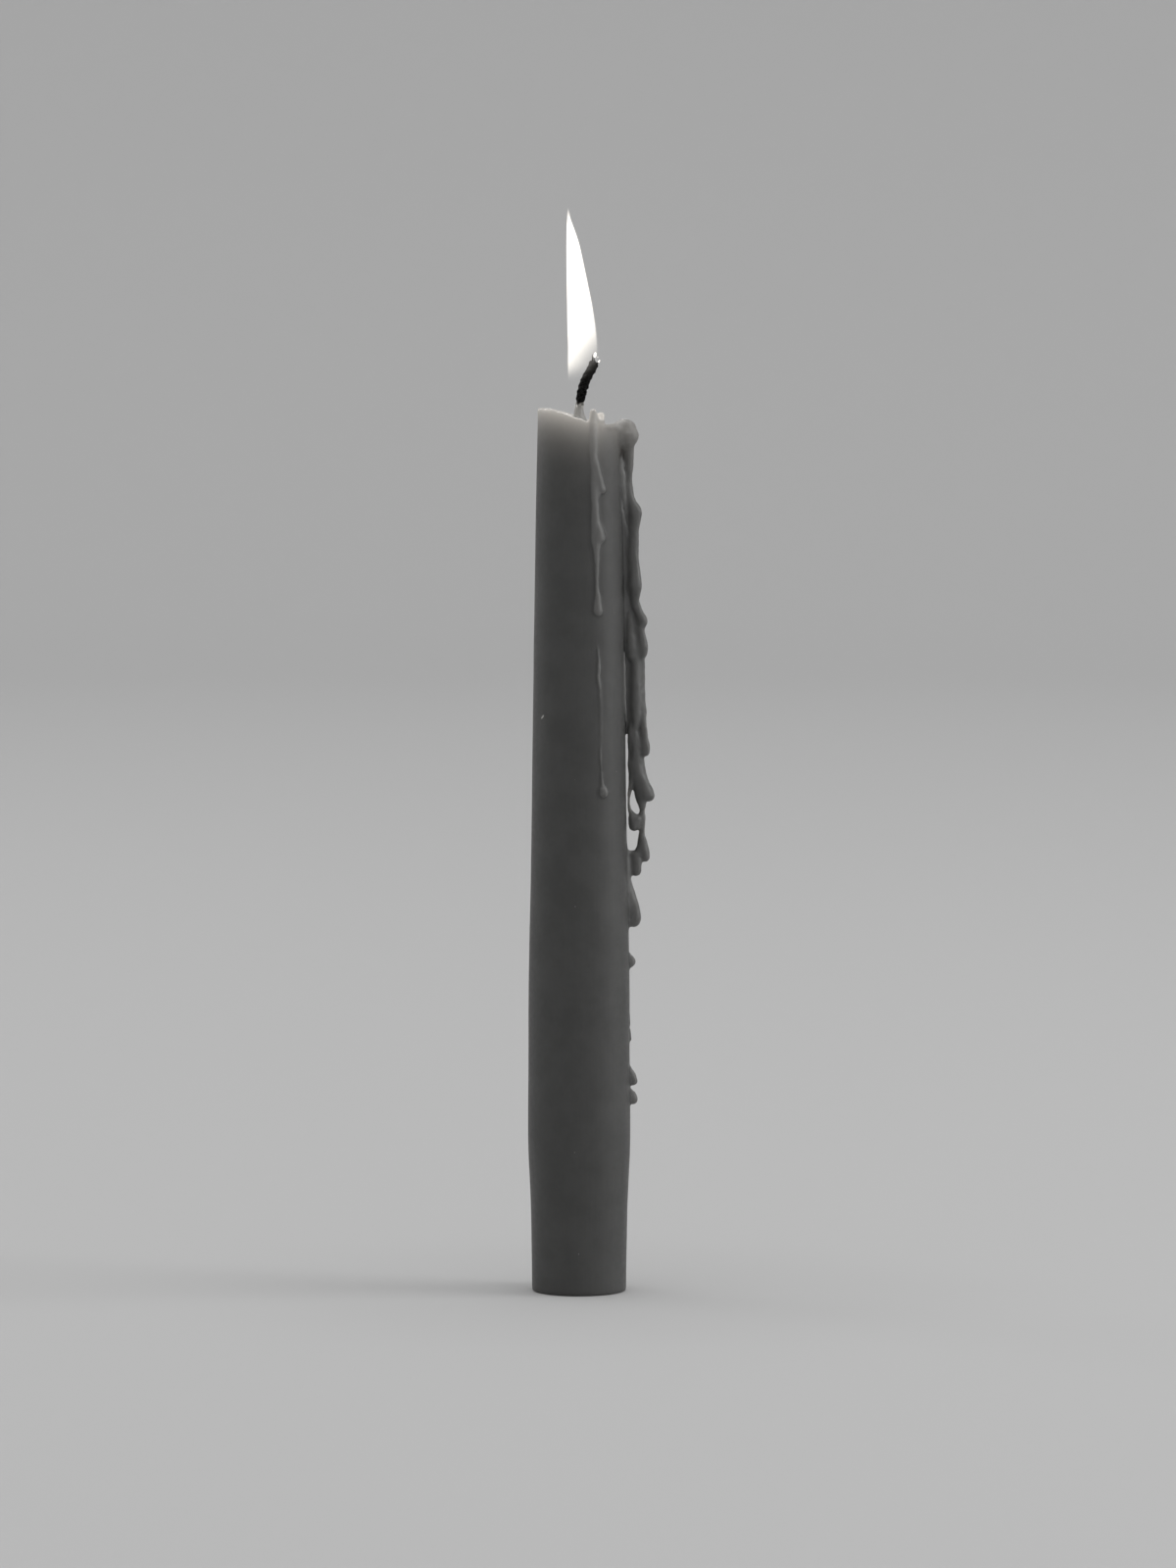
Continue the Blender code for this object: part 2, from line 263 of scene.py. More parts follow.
bm = bmesh.new()
loops = [[bm.verts.new((r * math.cos(t), -r * math.sin(t), z))
          for t in full_turn(SWEEP_TURNS)] for r, z in profile]
bm.faces.new(reversed(loops[0]))
lofted(bm, loops)
sweep = smooth_object(bm, "sweep", paper)
sweep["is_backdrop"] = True

# %% [markdown]
# ## Light
#
# Wax shows its form by soft gradients. A wide lamp at the right lights the side with the
# runs, and a weaker one at the left keeps the far edge from going black. The world adds an
# even glow. The level is plain: a colour renders about as bright as it is written.

# %% Lamps and world
LAMPS = (                            # name, place in m, width in m, power in W
    ("key", (1.9, -0.22, 0.75), 1.2, 15.0),
    ("fill", (-1.4, 0.9, 0.7), 0.9, 2.2),
)
AIM = Vector((0, 0, 0.12))
WORLD_LEVEL = 0.8

for name, place, width, power in LAMPS:
    lamp_data = bpy.data.lights.new(name, "AREA")
    lamp_data.shape = "DISK"
    lamp_data.size = width
    lamp_data.energy = power
    lamp = new_object(name, lamp_data)
    lamp.location = place
    lamp.rotation_euler = (AIM - Vector(place)).to_track_quat("-Z", "Y").to_euler()
    lamp.visible_camera = False

world = bpy.data.worlds.new("studio")
world.use_nodes = True
fill(world.node_tree.nodes["Background"], {"Color": (1, 1, 1, 1), "Strength": WORLD_LEVEL})
bpy.context.scene.world = world
print(len(LAMPS), "lamps of", sum(power for *_, power in LAMPS), "W together")

# %% [markdown]
# ## The shape of the wax: a distance field
#
# The wax is one solid: a dipped stem, a rim thinned by the flame, and every run that froze
# to it. Wax that flows over wax melts into it, so no crease between them is sharp. Joining
# tubes with a Boolean would leave knife-edge creases. A distance field does better: at every
# point of space it says how far the nearest wax is, and a soft minimum of two distances
# rounds the place where two runs meet. Geometry Nodes can work that field out on a grid and
# turn it into a mesh.
#
# The stem's own part of the field is a rule: the distance from the axis, less the radius at
# that height. The butt swells where it was dipped deepest, and the stem tapers upwards.

# %% Stem, rim and cup sizes
STEM_PROFILE = (                     # height, radius, in mm
    (0, 10.1), (9, 10.2), (18, 10.35), (24, 10.6), (31, 10.9), (50, 10.85), (66, 10.8),
    (98, 10.2), (129, 9.8), (150, 9.5), (182, 8.9), (190, 8.75),
)
BUTT_EDGE = 0.9                      # softness of the edge round the flat end
RIM_HEIGHT, RIM_FALL = 187.1, 1.9    # the rim's middle height, and its rise and fall
CUP_FLOOR, CUP_POWER = 181.8, 3.0    # depth and shape of the hollow round the wick
LIP_MIDDLE, LIP_RADIUS = 8.1, 0.62   # the rounded lip on top of the thin wall
WICK_BORE, BORE_FOOT = 1.2, 4.2      # the wick's channel through the wax


def stem_radius(height):
    """Radius of the stem at a height, in mm."""
    for (low, a), (high, b) in zip(STEM_PROFILE, STEM_PROFILE[1:]):
        if height <= high:
            return a + (b - a) * (height - low) / (high - low)
    return STEM_PROFILE[-1][1]


def rim_height(turn):
    """The flame leaned over the +X side and melted the rim lower there."""
    return RIM_HEIGHT - RIM_FALL * math.sin(math.pi / 2 * math.cos(turn))


print("rim from %.1f to %.1f mm" % (rim_height(0), rim_height(math.pi)))

# %% [markdown]
# ## The runs: routes with a thickness
#
# A run starts at the rim, creeps down the stem, and ends in a bead where it froze. Each one
# is a route of points (x, y, height, radius). A run on the front is easier to give by its
# place across the stem, its height, and how far its middle is lifted off the surface. The
# newest wax is on the rim itself: a bead beside the run, and a low saddle to the next side.

# %% Thin run down the front
def on_front(x, height, lift, radius):
    """A route point on the front of the stem."""
    reach = stem_radius(height) + lift
    return (x, -math.sqrt(reach * reach - x * x), height, radius)


ACROSS_FRONT = {                      # across, height, lift, radius
    "front run": [
        (3.0, 188.5, -0.3, 0.72), (2.95, 186.4, -0.1, 0.82), (2.9, 181.7, -0.3, 0.85),
        (3.05, 175.4, -0.35, 0.85), (3.25, 168.8, -0.3, 0.82), (3.35, 164, -0.2, 0.85),
        (3.55, 161.4, -0.15, 0.9), (3.6, 158.5, -0.15, 0.68), (3.7, 155.9, -0.05, 0.48),
        (3.75, 151.3, -0.05, 0.44), (3.95, 148.6, -0.05, 0.72), (4.1, 146.4, 0.05, 0.9),
    ],
    "front heel": [(3.4, 187.9, -0.6, 0.6), (3.9, 186.7, -0.5, 0.7), (4.2, 184.6, -0.7, 0.6)],
    "front side drop": [
        (3.2, 179.9, -0.3, 0.5), (3.7, 176.5, -0.15, 0.68), (4.3, 174.1, -0.1, 0.75),
        (4.85, 172.1, -0.05, 0.75),
    ],
    "front side film": [
        (3.5, 175.6, -0.4, 0.7), (4.0, 172.9, -0.35, 0.8), (3.8, 170.5, -0.45, 0.65),
    ],
    "front blob": [(3.7, 165.4, -0.3, 0.6), (4.15, 163.4, -0.1, 0.95), (4.35, 162, 0.0, 1.05)],
    "front trace": [
        (3.9, 138.9, -0.1, 0.22), (4.1, 136.2, 0.0, 0.3), (4.25, 133.9, 0.1, 0.42),
        (4.05, 132.4, 0.0, 0.32), (4.25, 130.4, -0.1, 0.42), (4.3, 128.3, -0.35, 0.5),
        (4.4, 123.5, -0.42, 0.55), (4.45, 118.6, -0.35, 0.5), (4.5, 116.6, -0.02, 0.28),
        (4.7, 112.6, 0.0, 0.28), (4.9, 109.3, 0.0, 0.3),
    ],
    "front bead": [(5.15, 108.3, 0.2, 0.75), (5.3, 107.7, 0.2, 0.88)],
}
RIM_RUNS = {
    "rim bead": [(4.4, -6.8, 185.4, 0.7), (4.5, -6.7, 186.6, 0.85), (4.6, -6.6, 187.7, 0.82)],
    "rim saddle": [
        (4.9, -6.6, 185.5, 0.6), (6.0, -5.8, 185.3, 0.62), (7.0, -4.7, 185.3, 0.66),
        (7.8, -3.4, 185.2, 0.8),
    ],
}
FRONT_RUNS = {
    **{name: [on_front(*point) for point in route] for name, route in ACROSS_FRONT.items()},
    **RIM_RUNS,
}
print(len(FRONT_RUNS), "runs, drops and beads on the front")

# %% [markdown]
# The thick curtain on the +X side is many runs that flowed over each other. The first ones
# made a web against the stem, and later ones ran down over it and ended in lobes. Higher up
# they lie on the stem; lower down they hung clear of it, so light shows through a long slit
# and two small windows.

# %% Thick curtain down the +X side
CURTAIN_RUNS = {
    "root web": [
        (8.8, 0.6, 178.8, 0.9), (9.3, 0.5, 174.4, 1.25), (9.6, 0.5, 168.0, 1.35),
        (9.9, 0.4, 160.5, 1.4), (10.1, 0.4, 148.5, 1.4), (10.3, 0.5, 136.5, 1.3),
        (10.4, 0.5, 126.5, 1.2), (10.5, 0.4, 122.5, 0.95), (10.6, 0.3, 120.4, 0.75),
    ],
    "back strand": [
        (9.5, 1.2, 183.4, 1.6), (10.0, 1.4, 176.4, 1.1), (10.5, 1.5, 168.4, 1.3),
        (10.8, 1.4, 158.5, 1.1), (11.2, 1.5, 148.5, 1.3), (11.8, 1.3, 138.5, 1.2),
        (12.0, 1.1, 128.5, 1.2), (12.1, 0.9, 120.5, 1.0), (12.3, 0.6, 115.5, 0.5),
    ],
    "shoulder": [(7.2, -3.0, 184.8, 0.85), (8.4, -2.5, 185.1, 1.15), (9.3, -1.7, 185.2, 1.4)],
    "knob": [(10.05, -0.9, 184.6, 2.2), (10.3, -1.35, 183.25, 2.42)],
    "outer strand": [
        (10.7, -0.9, 181.2, 1.0), (10.6, -0.9, 178.0, 1.08), (10.3, -0.9, 174.5, 1.0),
        (10.35, -0.8, 171.6, 1.05), (10.95, -0.7, 169.2, 1.2), (11.9, -0.6, 167.0, 1.42),
        (11.6, -0.7, 163.2, 1.15), (11.5, -0.8, 158.5, 1.2), (11.75, -0.9, 155.2, 1.2),
        (11.9, -1.2, 152.4, 1.45), (11.95, -1.2, 151.2, 1.5), (11.95, -0.9, 148.9, 0.95),
        (12.0, -0.7, 146.6, 0.9),
    ],
    "crossing strand": [
        (8.5, -2.2, 170.0, 0.3), (9.0, -1.8, 167.6, 0.45), (9.5, -1.35, 165.3, 0.52),
        (9.95, -1.05, 163.0, 0.52), (10.5, -0.85, 160.5, 0.5), (10.9, -0.7, 158.0, 0.4),
    ],
    "column edge": [
        (8.9, -1.2, 178.8, 0.45), (8.95, -1.6, 177.0, 0.65), (9.0, -1.7, 175.0, 0.75),
        (9.3, -1.6, 171.5, 0.72), (9.6, -1.4, 169.0, 0.62), (10.1, -0.9, 166.5, 0.45),
        (10.3, -0.5, 165.0, 0.35),
    ],
    "inner lobe": [
        (10.8, -0.2, 149.0, 0.4), (10.9, -0.6, 146.6, 0.55), (10.9, -0.9, 144.2, 0.7),
        (10.95, -1.1, 141.5, 0.82), (11.15, -1.3, 138.3, 0.96), (11.2, -1.3, 136.6, 0.9),
    ],
    "side lobe": [
        (12.1, -0.7, 147.4, 0.8), (12.7, -0.9, 145.4, 1.0), (13.45, -0.8, 143.9, 1.1),
        (13.1, -0.8, 142.0, 0.9), (13.5, -0.9, 139.8, 1.0), (13.65, -0.9, 138.2, 1.05),
        (13.55, -0.8, 136.9, 0.95),
    ],
    "pocket floor": [
        (11.2, 0.5, 155.5, 0.8), (11.5, 0.4, 152.5, 1.0), (11.6, 0.4, 149.0, 1.0),
    ],
    "broad strand": [
        (11.7, 0.4, 149.0, 0.7), (11.8, 0.1, 146.2, 0.9), (11.9, -0.2, 142.5, 1.0),
        (11.95, -0.5, 137.5, 1.1), (12.0, -0.8, 132.5, 1.1), (12.05, -0.9, 127.5, 1.12),
        (12.1, -0.9, 123.6, 1.05), (12.0, -0.9, 120.6, 0.68), (12.1, -1.0, 118.3, 0.92),
        (12.15, -1.0, 114.8, 0.95), (12.4, -0.9, 111.8, 0.95), (13.0, -0.8, 109.6, 1.0),
    ],
    "strand behind": [
        (12.2, 0.5, 146.0, 0.9), (12.8, 0.3, 138.5, 1.1), (13.0, 0.2, 132.5, 1.05),
        (13.05, 0.1, 127.5, 1.1), (13.3, 0.0, 123.5, 1.05), (12.9, 0.0, 119.5, 0.9),
        (12.9, -0.2, 116.5, 0.95), (12.95, -0.3, 114.0, 1.0), (13.2, -0.3, 111.6, 1.05),
        (13.75, -0.5, 109.0, 1.3), (14.5, -0.6, 107.3, 1.35), (14.9, -0.6, 106.5, 1.25),
    ],
    "tip crest": [
        (13.5, -0.9, 110.0, 0.8), (13.9, -1.1, 108.2, 1.0), (14.2, -1.1, 106.9, 0.95),
    ],
    "dark strand": [
        (11.0, 0.4, 139.5, 0.6), (11.05, 0.1, 132.5, 0.85), (11.1, 0.0, 126.5, 0.85),
        (11.3, -0.5, 122.5, 0.7), (11.25, -0.9, 119.2, 0.85), (11.25, -0.7, 116.0, 0.8),
        (11.3, -0.9, 112.3, 0.85), (11.2, -0.9, 109.7, 0.7), (10.8, -0.9, 107.7, 0.4),
        (10.62, -0.9, 105.6, 0.3), (10.75, -0.8, 103.7, 0.4), (11.3, -0.7, 102.4, 0.7),
        (11.6, -0.7, 100.9, 0.92),
    ],
    "root thread": [
        (9.5, -1.9, 137.0, 0.36), (9.55, -2.1, 132.0, 0.42), (9.6, -2.1, 127.5, 0.42),
        (9.8, -1.7, 124.5, 0.4), (9.85, -1.2, 122.5, 0.35),
    ],
    "window head": [
        (12.0, -1.0, 113.5, 0.8), (12.3, -1.0, 110.6, 1.0), (12.7, -0.8, 108.2, 1.05),
        (13.1, -0.5, 105.8, 1.0), (13.4, -0.3, 104.2, 0.75),
    ],
    "side drop": [
        (13.4, -0.5, 124.0, 0.65), (13.75, -0.8, 120.8, 0.75), (13.9, -0.9, 118.8, 0.85),
        (14.15, -0.9, 116.9, 1.02), (14.1, -0.9, 115.9, 0.98),
    ],
    "hanging strand": [
        (13.7, -0.2, 107.0, 1.0), (13.5, -0.1, 104.6, 0.7), (13.4, 0.0, 101.6, 0.55),
        (13.4, 0.1, 98.9, 0.6), (13.4, 0.1, 97.4, 0.85), (13.6, 0.1, 95.9, 1.05),
        (13.9, 0.1, 94.6, 1.1), (14.05, 0.1, 93.3, 1.05),
    ],
    "window web": [
        (11.6, -0.7, 101.7, 0.95), (12.4, -0.4, 101.4, 1.05), (13.1, -0.1, 101.6, 0.9),
    ],
    "web foot": [
        (11.65, -0.7, 99.9, 0.95), (12.4, -0.4, 100.1, 0.95), (13.1, -0.1, 100.4, 0.85),
    ],
    "left lobe": [
        (13.2, 0.1, 95.2, 0.9), (12.6, -0.1, 93.9, 1.05), (12.1, -0.3, 93.5, 1.05),
        (12.15, -0.4, 92.0, 1.2), (12.15, -0.4, 90.5, 1.22),
    ],
    "lobe bridge": [
        (9.8, -0.3, 94.4, 0.45), (10.6, -0.4, 94.35, 0.45), (11.4, -0.4, 94.2, 0.5),
    ],
    "stem film": [
        (9.3, -0.8, 95.6, 0.9), (9.65, -0.8, 93.5, 1.0), (9.85, -0.8, 91.0, 1.05),
        (9.95, -0.7, 89.0, 1.05), (9.8, -0.6, 86.5, 1.0),
    ],
}
print(len(CURTAIN_RUNS), "runs in the curtain")

# %% Separate drops lower down
LOWER_DROPS = {
    "high drop": [
        (10.2, 0.3, 89.5, 0.7), (10.6, 0.3, 87.0, 0.9), (11.2, 0.3, 84.1, 1.25),
        (11.75, 0.3, 80.9, 1.45), (11.7, 0.2, 79.6, 1.35),
    ],
    "small drop": [(10.4, -0.3, 72.6, 0.4), (11.2, -0.3, 71, 0.85), (10.7, -0.3, 70.2, 0.75)],
    "high bump": [(10.5, 0, 59.5, 0.35), (10.6, 0, 57.3, 0.4)],
    "low bump": [(10.6, 0, 56.1, 0.4), (10.7, 0, 54.2, 0.55)],
    "high bead": [(10.6, -0.3, 48.5, 0.4), (11.3, -0.3, 46.4, 0.85), (11.6, -0.3, 45.2, 0.95)],
    "low bead": [(10.7, -0.3, 43.2, 0.5), (11.4, -0.3, 42.1, 0.9), (11.6, -0.3, 41.2, 0.95)],
}
print(len(LOWER_DROPS), "drops lower down")

# %% [markdown]
# The lip itself is a run too: a ring of rounded wax on top of the thin wall, a little
# thicker in some places than in others.

# %% Lip ring, and one curve object that holds every route
LIP_POINTS = 48
LIP_UNEVEN, LIP_THICKER = 0.08, 0.06  # mm either way, in height and in radius

lip_dice = random.Random(7)
LIP = {"lip": [
    (LIP_MIDDLE * math.cos(turn), LIP_MIDDLE * math.sin(turn),
     rim_height(turn) - LIP_RADIUS + lip_dice.uniform(-LIP_UNEVEN, LIP_UNEVEN),
     LIP_RADIUS + lip_dice.uniform(-LIP_THICKER, LIP_THICKER))
    for turn in (*full_turn(LIP_POINTS), math.tau)
]}


def curve_object(name, routes):
    """A curve for routes of (x, y, height) or (x, y, height, radius) points in mm."""
    data = bpy.data.curves.new(name, "CURVE")
    data.dimensions = "3D"
    for route in routes:
        spline = data.splines.new("POLY")
        spline.points.add(len(route) - 1)
        for point, (x, y, height, *radius) in zip(spline.points, route):
            point.co = (x * MM, y * MM, height * MM, 1.0)
            if radius:
                point.radius = radius[0] * MM
    return new_object(name, data)


routes = {**LIP, **CURTAIN_RUNS, **FRONT_RUNS, **LOWER_DROPS}
wax_routes = curve_object("wax routes", routes.values())
print(len(routes), "routes with", sum(map(len, routes.values())), "points")

# %% [markdown]
# ## The tree that melts the wax
#
# The field is worked out in millimetres. First the stem: its radius comes from a curve
# against height, its top is cut by the hollow of the cup, its foot by the flat end, and the
# wick's channel is taken out of the middle.

# %% Tree: the stem's distance
FIELD_TALL, FIELD_WIDE = 190.0, 12.0  # mm that the curve's 0 to 1 stands for, both ways
SKIN_WAVE = 0.10                      # mm, slow unevenness of a dipped stem
WAVE_SCALE = (0.13, 0.13, 0.05)       # waves 8 mm wide round the stem and 20 mm tall

tree, given, result = empty_tree("melted wax", [
    ("Runs", "Int"), ("Step", "Float"), ("Softness", "Float"),
    ("Low corner", "Vector"), ("High corner", "Vector"),
    ("Voxels X", "Int"), ("Voxels Y", "Int"), ("Voxels Z", "Int"), ("Wax", "Material"),
])
here = add(tree, "GeometryNodeInputPosition")
place = add(tree, VECTOR_MATH, {0: here, "Scale": 1 / MM}, operation="SCALE")
axes = add(tree, "ShaderNodeSeparateXYZ", {0: place})
height = axes.outputs["Z"]
reach = chain(tree, VECTOR_MATH, place, ("MULTIPLY", (1, 1, 0)), ("LENGTH",))

share = chain(tree, MATH, height, ("DIVIDE", FIELD_TALL))
taper = add(tree, "ShaderNodeFloatCurve", {"Value": share})
line = taper.mapping.curves[0]
for k, (level, radius) in enumerate(STEM_PROFILE):
    mark = (level / FIELD_TALL, radius / FIELD_WIDE)
    if k < 2:                         # a new curve already has its first two points
        line.points[k].location = mark
    else:
        line.points.new(*mark)
taper.mapping.update()
width = chain(tree, MATH, taper, ("MULTIPLY", FIELD_WIDE))
side = chain(tree, MATH, reach, ("SUBTRACT", width))

slow = chain(tree, VECTOR_MATH, place, ("MULTIPLY", WAVE_SCALE))
wave = add(tree, "ShaderNodeTexNoise", {"Vector": slow, "Scale": 1.0, "Detail": 2.0})
uneven_side = chain(tree, MATH, wave, ("SUBTRACT", 0.5), ("MULTIPLY_ADD", SKIN_WAVE * 2, side))
print("the stem's side takes", len(tree.nodes), "nodes")

# %% Tree: cup, flat end and channel
CUP_EDGE = 1.1                       # softness of the edge between cup wall and side

rim = chain(tree, MATH, axes.outputs["X"], ("DIVIDE", reach), ("MULTIPLY", math.pi / 2),
            ("SINE",), ("MULTIPLY_ADD", -RIM_FALL, RIM_HEIGHT - LIP_RADIUS))
depth = chain(tree, MATH, rim, ("SUBTRACT", CUP_FLOOR))
out = chain(tree, MATH, reach, ("DIVIDE", LIP_MIDDLE))
cup = chain(tree, MATH, out, ("POWER", CUP_POWER), ("MULTIPLY_ADD", depth, CUP_FLOOR))
slope = chain(tree, MATH, out, ("POWER", CUP_POWER - 1), ("MULTIPLY", depth),
              ("MULTIPLY", CUP_POWER / LIP_MIDDLE))
slant = chain(tree, MATH, slope, ("MULTIPLY_ADD", slope, 1.0), ("SQRT",))
over_cup = chain(tree, MATH, height, ("SUBTRACT", cup), ("DIVIDE", slant))
below = chain(tree, MATH, height, ("MULTIPLY", -1.0))

under_foot = chain(tree, MATH, height, ("SUBTRACT", BORE_FOOT), ("MINIMUM", 0.0))
from_foot = add(tree, "ShaderNodeCombineXYZ",
                {0: axes.outputs["X"], 1: axes.outputs["Y"], 2: under_foot})
bore_reach = chain(tree, VECTOR_MATH, from_foot, ("LENGTH",))
in_bore = chain(tree, MATH, WICK_BORE, ("SUBTRACT", bore_reach))
bored = chain(tree, MATH, uneven_side, ("SMOOTH_MAX", over_cup, CUP_EDGE),
              ("SMOOTH_MAX", below, BUTT_EDGE), ("MAXIMUM", in_bore))
print("with the cup and the channel:", len(tree.nodes), "nodes")

# %% [markdown]
# Then the runs. Each route becomes a smooth curve cut into short steps, and its points keep
# their radius and the number of their route. A Repeat Zone takes the routes one at a time:
# it finds the nearest point of that route, measures the distance to its surface, and melts
# it into the field with a soft minimum. A thick run stays hot longer than a thin one and
# melts deeper into what it touches, so the softness of the minimum follows its section.
# A fine noise makes frozen drips slightly lumpy.

# %% Tree: routes to points, and lumps
LUMP_SIZE = 0.24                     # mm up or down for the whole swing of the noise
LUMP_SCALE = (0.55, 0.55, 0.38)      # lumps about 2 mm wide and 3 mm tall

smooth = add(tree, "GeometryNodeCurveSplineType", {"Curve": given.outputs["Geometry"]},
             spline_type="CATMULL_ROM")
number = add(tree, "GeometryNodeInputIndex")
marked = add(tree, "GeometryNodeStoreNamedAttribute",
             {"Geometry": smooth, "Name": "route", "Value": number}, data_type="INT",
             domain="CURVE")
fine = add(tree, "GeometryNodeResampleCurve",
           {"Curve": marked, "Length": given.outputs["Step"]}, mode="LENGTH")
dots = add(tree, "GeometryNodeCurveToPoints", {"Curve": fine}, mode="EVALUATED")

lump_place = chain(tree, VECTOR_MATH, place, ("MULTIPLY", LUMP_SCALE))
lumps = add(tree, "ShaderNodeTexNoise", {"Vector": lump_place, "Scale": 1.0, "Detail": 2.0})
lump = chain(tree, MATH, lumps, ("SUBTRACT", 0.5), ("MULTIPLY", LUMP_SIZE * 2))

# %% Tree: melt in the runs, one after another
MELT_MOST = 1.7                      # mm, the softest joint

zone_in = add(tree, "GeometryNodeRepeatInput")
zone_out = add(tree, "GeometryNodeRepeatOutput")
zone_in.pair_with_output(zone_out)
zone_out.repeat_items.clear()
for kind, label in (("GEOMETRY", "Routes"), ("FLOAT", "Distance")):
    zone_out.repeat_items.new(kind, label)
fill(zone_in, {"Iterations": given.outputs["Runs"], "Routes": dots, "Distance": bored})

route_number = add(tree, "GeometryNodeInputNamedAttribute", {"Name": "route"}, data_type="INT")
is_this = add(tree, "FunctionNodeCompare", {2: route_number, 3: zone_in.outputs["Iteration"]},
              data_type="INT", operation="EQUAL")
one = add(tree, "GeometryNodeSeparateGeometry", {0: zone_in.outputs["Routes"], 1: is_this},
          domain="POINT")
nearest = add(tree, "GeometryNodeSampleNearest", {"Geometry": one}, domain="POINT")
thickness = add(tree, "GeometryNodeInputRadius")
centre = add(tree, "GeometryNodeSampleIndex",
             {"Geometry": one, "Value": here, "Index": nearest}, data_type="FLOAT_VECTOR",
             domain="POINT")
radius = add(tree, "GeometryNodeSampleIndex",
             {"Geometry": one, "Value": thickness, "Index": nearest}, data_type="FLOAT",
             domain="POINT")
gap = chain(tree, VECTOR_MATH, here, ("DISTANCE", centre))
to_run = chain(tree, MATH, gap, ("SUBTRACT", radius), ("MULTIPLY_ADD", 1 / MM, lump))
thick = chain(tree, MATH, radius, ("MULTIPLY", 1 / MM))
softness = chain(tree, MATH, thick, ("MULTIPLY", thick),
                 ("MULTIPLY", given.outputs["Softness"]), ("MINIMUM", MELT_MOST))
melted = chain(tree, MATH, zone_in.outputs["Distance"], ("SMOOTH_MIN", to_run, softness))
fill(zone_out, {"Routes": zone_in.outputs["Routes"], "Distance": melted})

# %% [markdown]
# Last, the field fills a grid and its zero level becomes the skin of the wax. The mesh keeps
# one attribute, how far each point stands proud of the stem, because the material gives
# thin films and thick runs another tone than the old dipped stem.

# %% Tree: from field to mesh
solid = chain(tree, MATH, zone_out.outputs["Distance"], ("MULTIPLY", -1.0))
grid = add(tree, "GeometryNodeVolumeCube",
           {"Density": solid, "Background": -1.0, "Min": given.outputs["Low corner"],
            "Max": given.outputs["High corner"], "Resolution X": given.outputs["Voxels X"],
            "Resolution Y": given.outputs["Voxels Y"],
            "Resolution Z": given.outputs["Voxels Z"]})
skin = add(tree, "GeometryNodeVolumeToMesh", {"Volume": grid, "Threshold": 0.0})
proud = add(tree, "GeometryNodeStoreNamedAttribute",
            {"Geometry": skin, "Name": "proud", "Value": side}, data_type="FLOAT",
            domain="POINT")
shaded = add(tree, "GeometryNodeSetShadeSmooth", {"Geometry": proud})
real = add(tree, "GeometryNodeRealizeInstances", {"Geometry": shaded})
dressed = add(tree, "GeometryNodeSetMaterial",
              {"Geometry": real, "Material": given.outputs["Wax"]})
fill(result, {0: dressed})
print("the whole tree:", len(tree.nodes), "nodes")

# %% Melt it
VOXEL = 0.25                         # mm between grid points, and along a route
MELT = 1.25                          # softness of a joint in mm, for a run of 1 mm radius
LOW, HIGH = (-12.0, -12.0, -1.0), (17.0, 12.0, 191.0)    # corners of the grid

wax = bpy.data.materials.new("dipped wax")
cells = [round((high - low) / VOXEL) for low, high in zip(LOW, HIGH)]
wax_body = grown(wax_routes, tree, {
    "Runs": len(routes), "Step": VOXEL * MM, "Softness": MELT,
    "Low corner": [c * MM for c in LOW], "High corner": [c * MM for c in HIGH],
    "Voxels X": cells[0], "Voxels Y": cells[1], "Voxels Z": cells[2], "Wax": wax,
}, "wax_candle")
print("fine wax mesh:", len(wax_body.data.polygons), "faces")

# %% [markdown]
# The grid gives far more triangles than a smooth stem needs. A Decimate modifier takes most
# of them away where the wax is flat and few where it curls, and a Data Transfer modifier
# lends the thin mesh the shading of the fine one, so its highlights stay smooth.

# %% Thin the mesh but keep its shading
WAX_TRIANGLES = 190_000


def thinned(source, triangles, name):
    """A lighter copy of a mesh object, shaded by the fine one, which is then removed."""
    made = new_object(name, source.data.copy())
    fewer = made.modifiers.new("fewer", "DECIMATE")
    fewer.ratio = triangles / sum(len(face.vertices) - 2 for face in source.data.polygons)
    shading = made.modifiers.new("shading", "DATA_TRANSFER")
    shading.object = source
    shading.use_loop_data = True
    shading.data_types_loops = {"CUSTOM_NORMAL"}
    shading.loop_mapping = "POLYINTERP_NEAREST"
    mesh = plain_mesh(made, name)
    made.modifiers.clear()
    made.data = mesh
    bpy.data.objects.remove(source)
    return made


wax_body = thinned(wax_body, WAX_TRIANGLES, "wax_body_looks")
print("thinned wax mesh:", len(wax_body.data.polygons), "faces")

# %% [markdown]
# ## The finish of the wax
#
# Dinner candles are paraffin hardened with stearin and dyed through. The wax is satin, not
# glossy: cast and dipped skin scatters light in its first few millimetres, which softens
# every shadow, and its refractive index is about 1.44. The old skin of the stem is faintly
# mottled and has fine scratches and specks from handling. The drips froze in air, so they
# are a little smoother. They are paler too, a thin film most of all and a thick run least,
# showing more of its dye: partly the bloom of freshly frozen wax, and partly painted light
# for the light that thin wax catches and lets through. Round the flame the thin wall has a
# painted glow: an emission stands for the flame's light coming through the wall from inside.

# %% Dipped wax: tones, with painted light on the drips
STEM_TONE, STEM_DARK = "#484847", "#434342"
# Drips are paler than the stem: partly bloom on frozen wax, partly painted light for the light
# that thin wax catches and lets through.
FILM_TONE_WITH_PAINTED_LIGHT, THICK_TONE = "#646463", "#555554"
FILM_PROUD, THICK_PROUD = (0.08, 0.35), (0.7, 1.7)       # mm that each stands off the stem
CLOUD_SCALE, CLOUD_EDGE = 0.14, (0.35, 0.65)             # clouds about 7 mm across

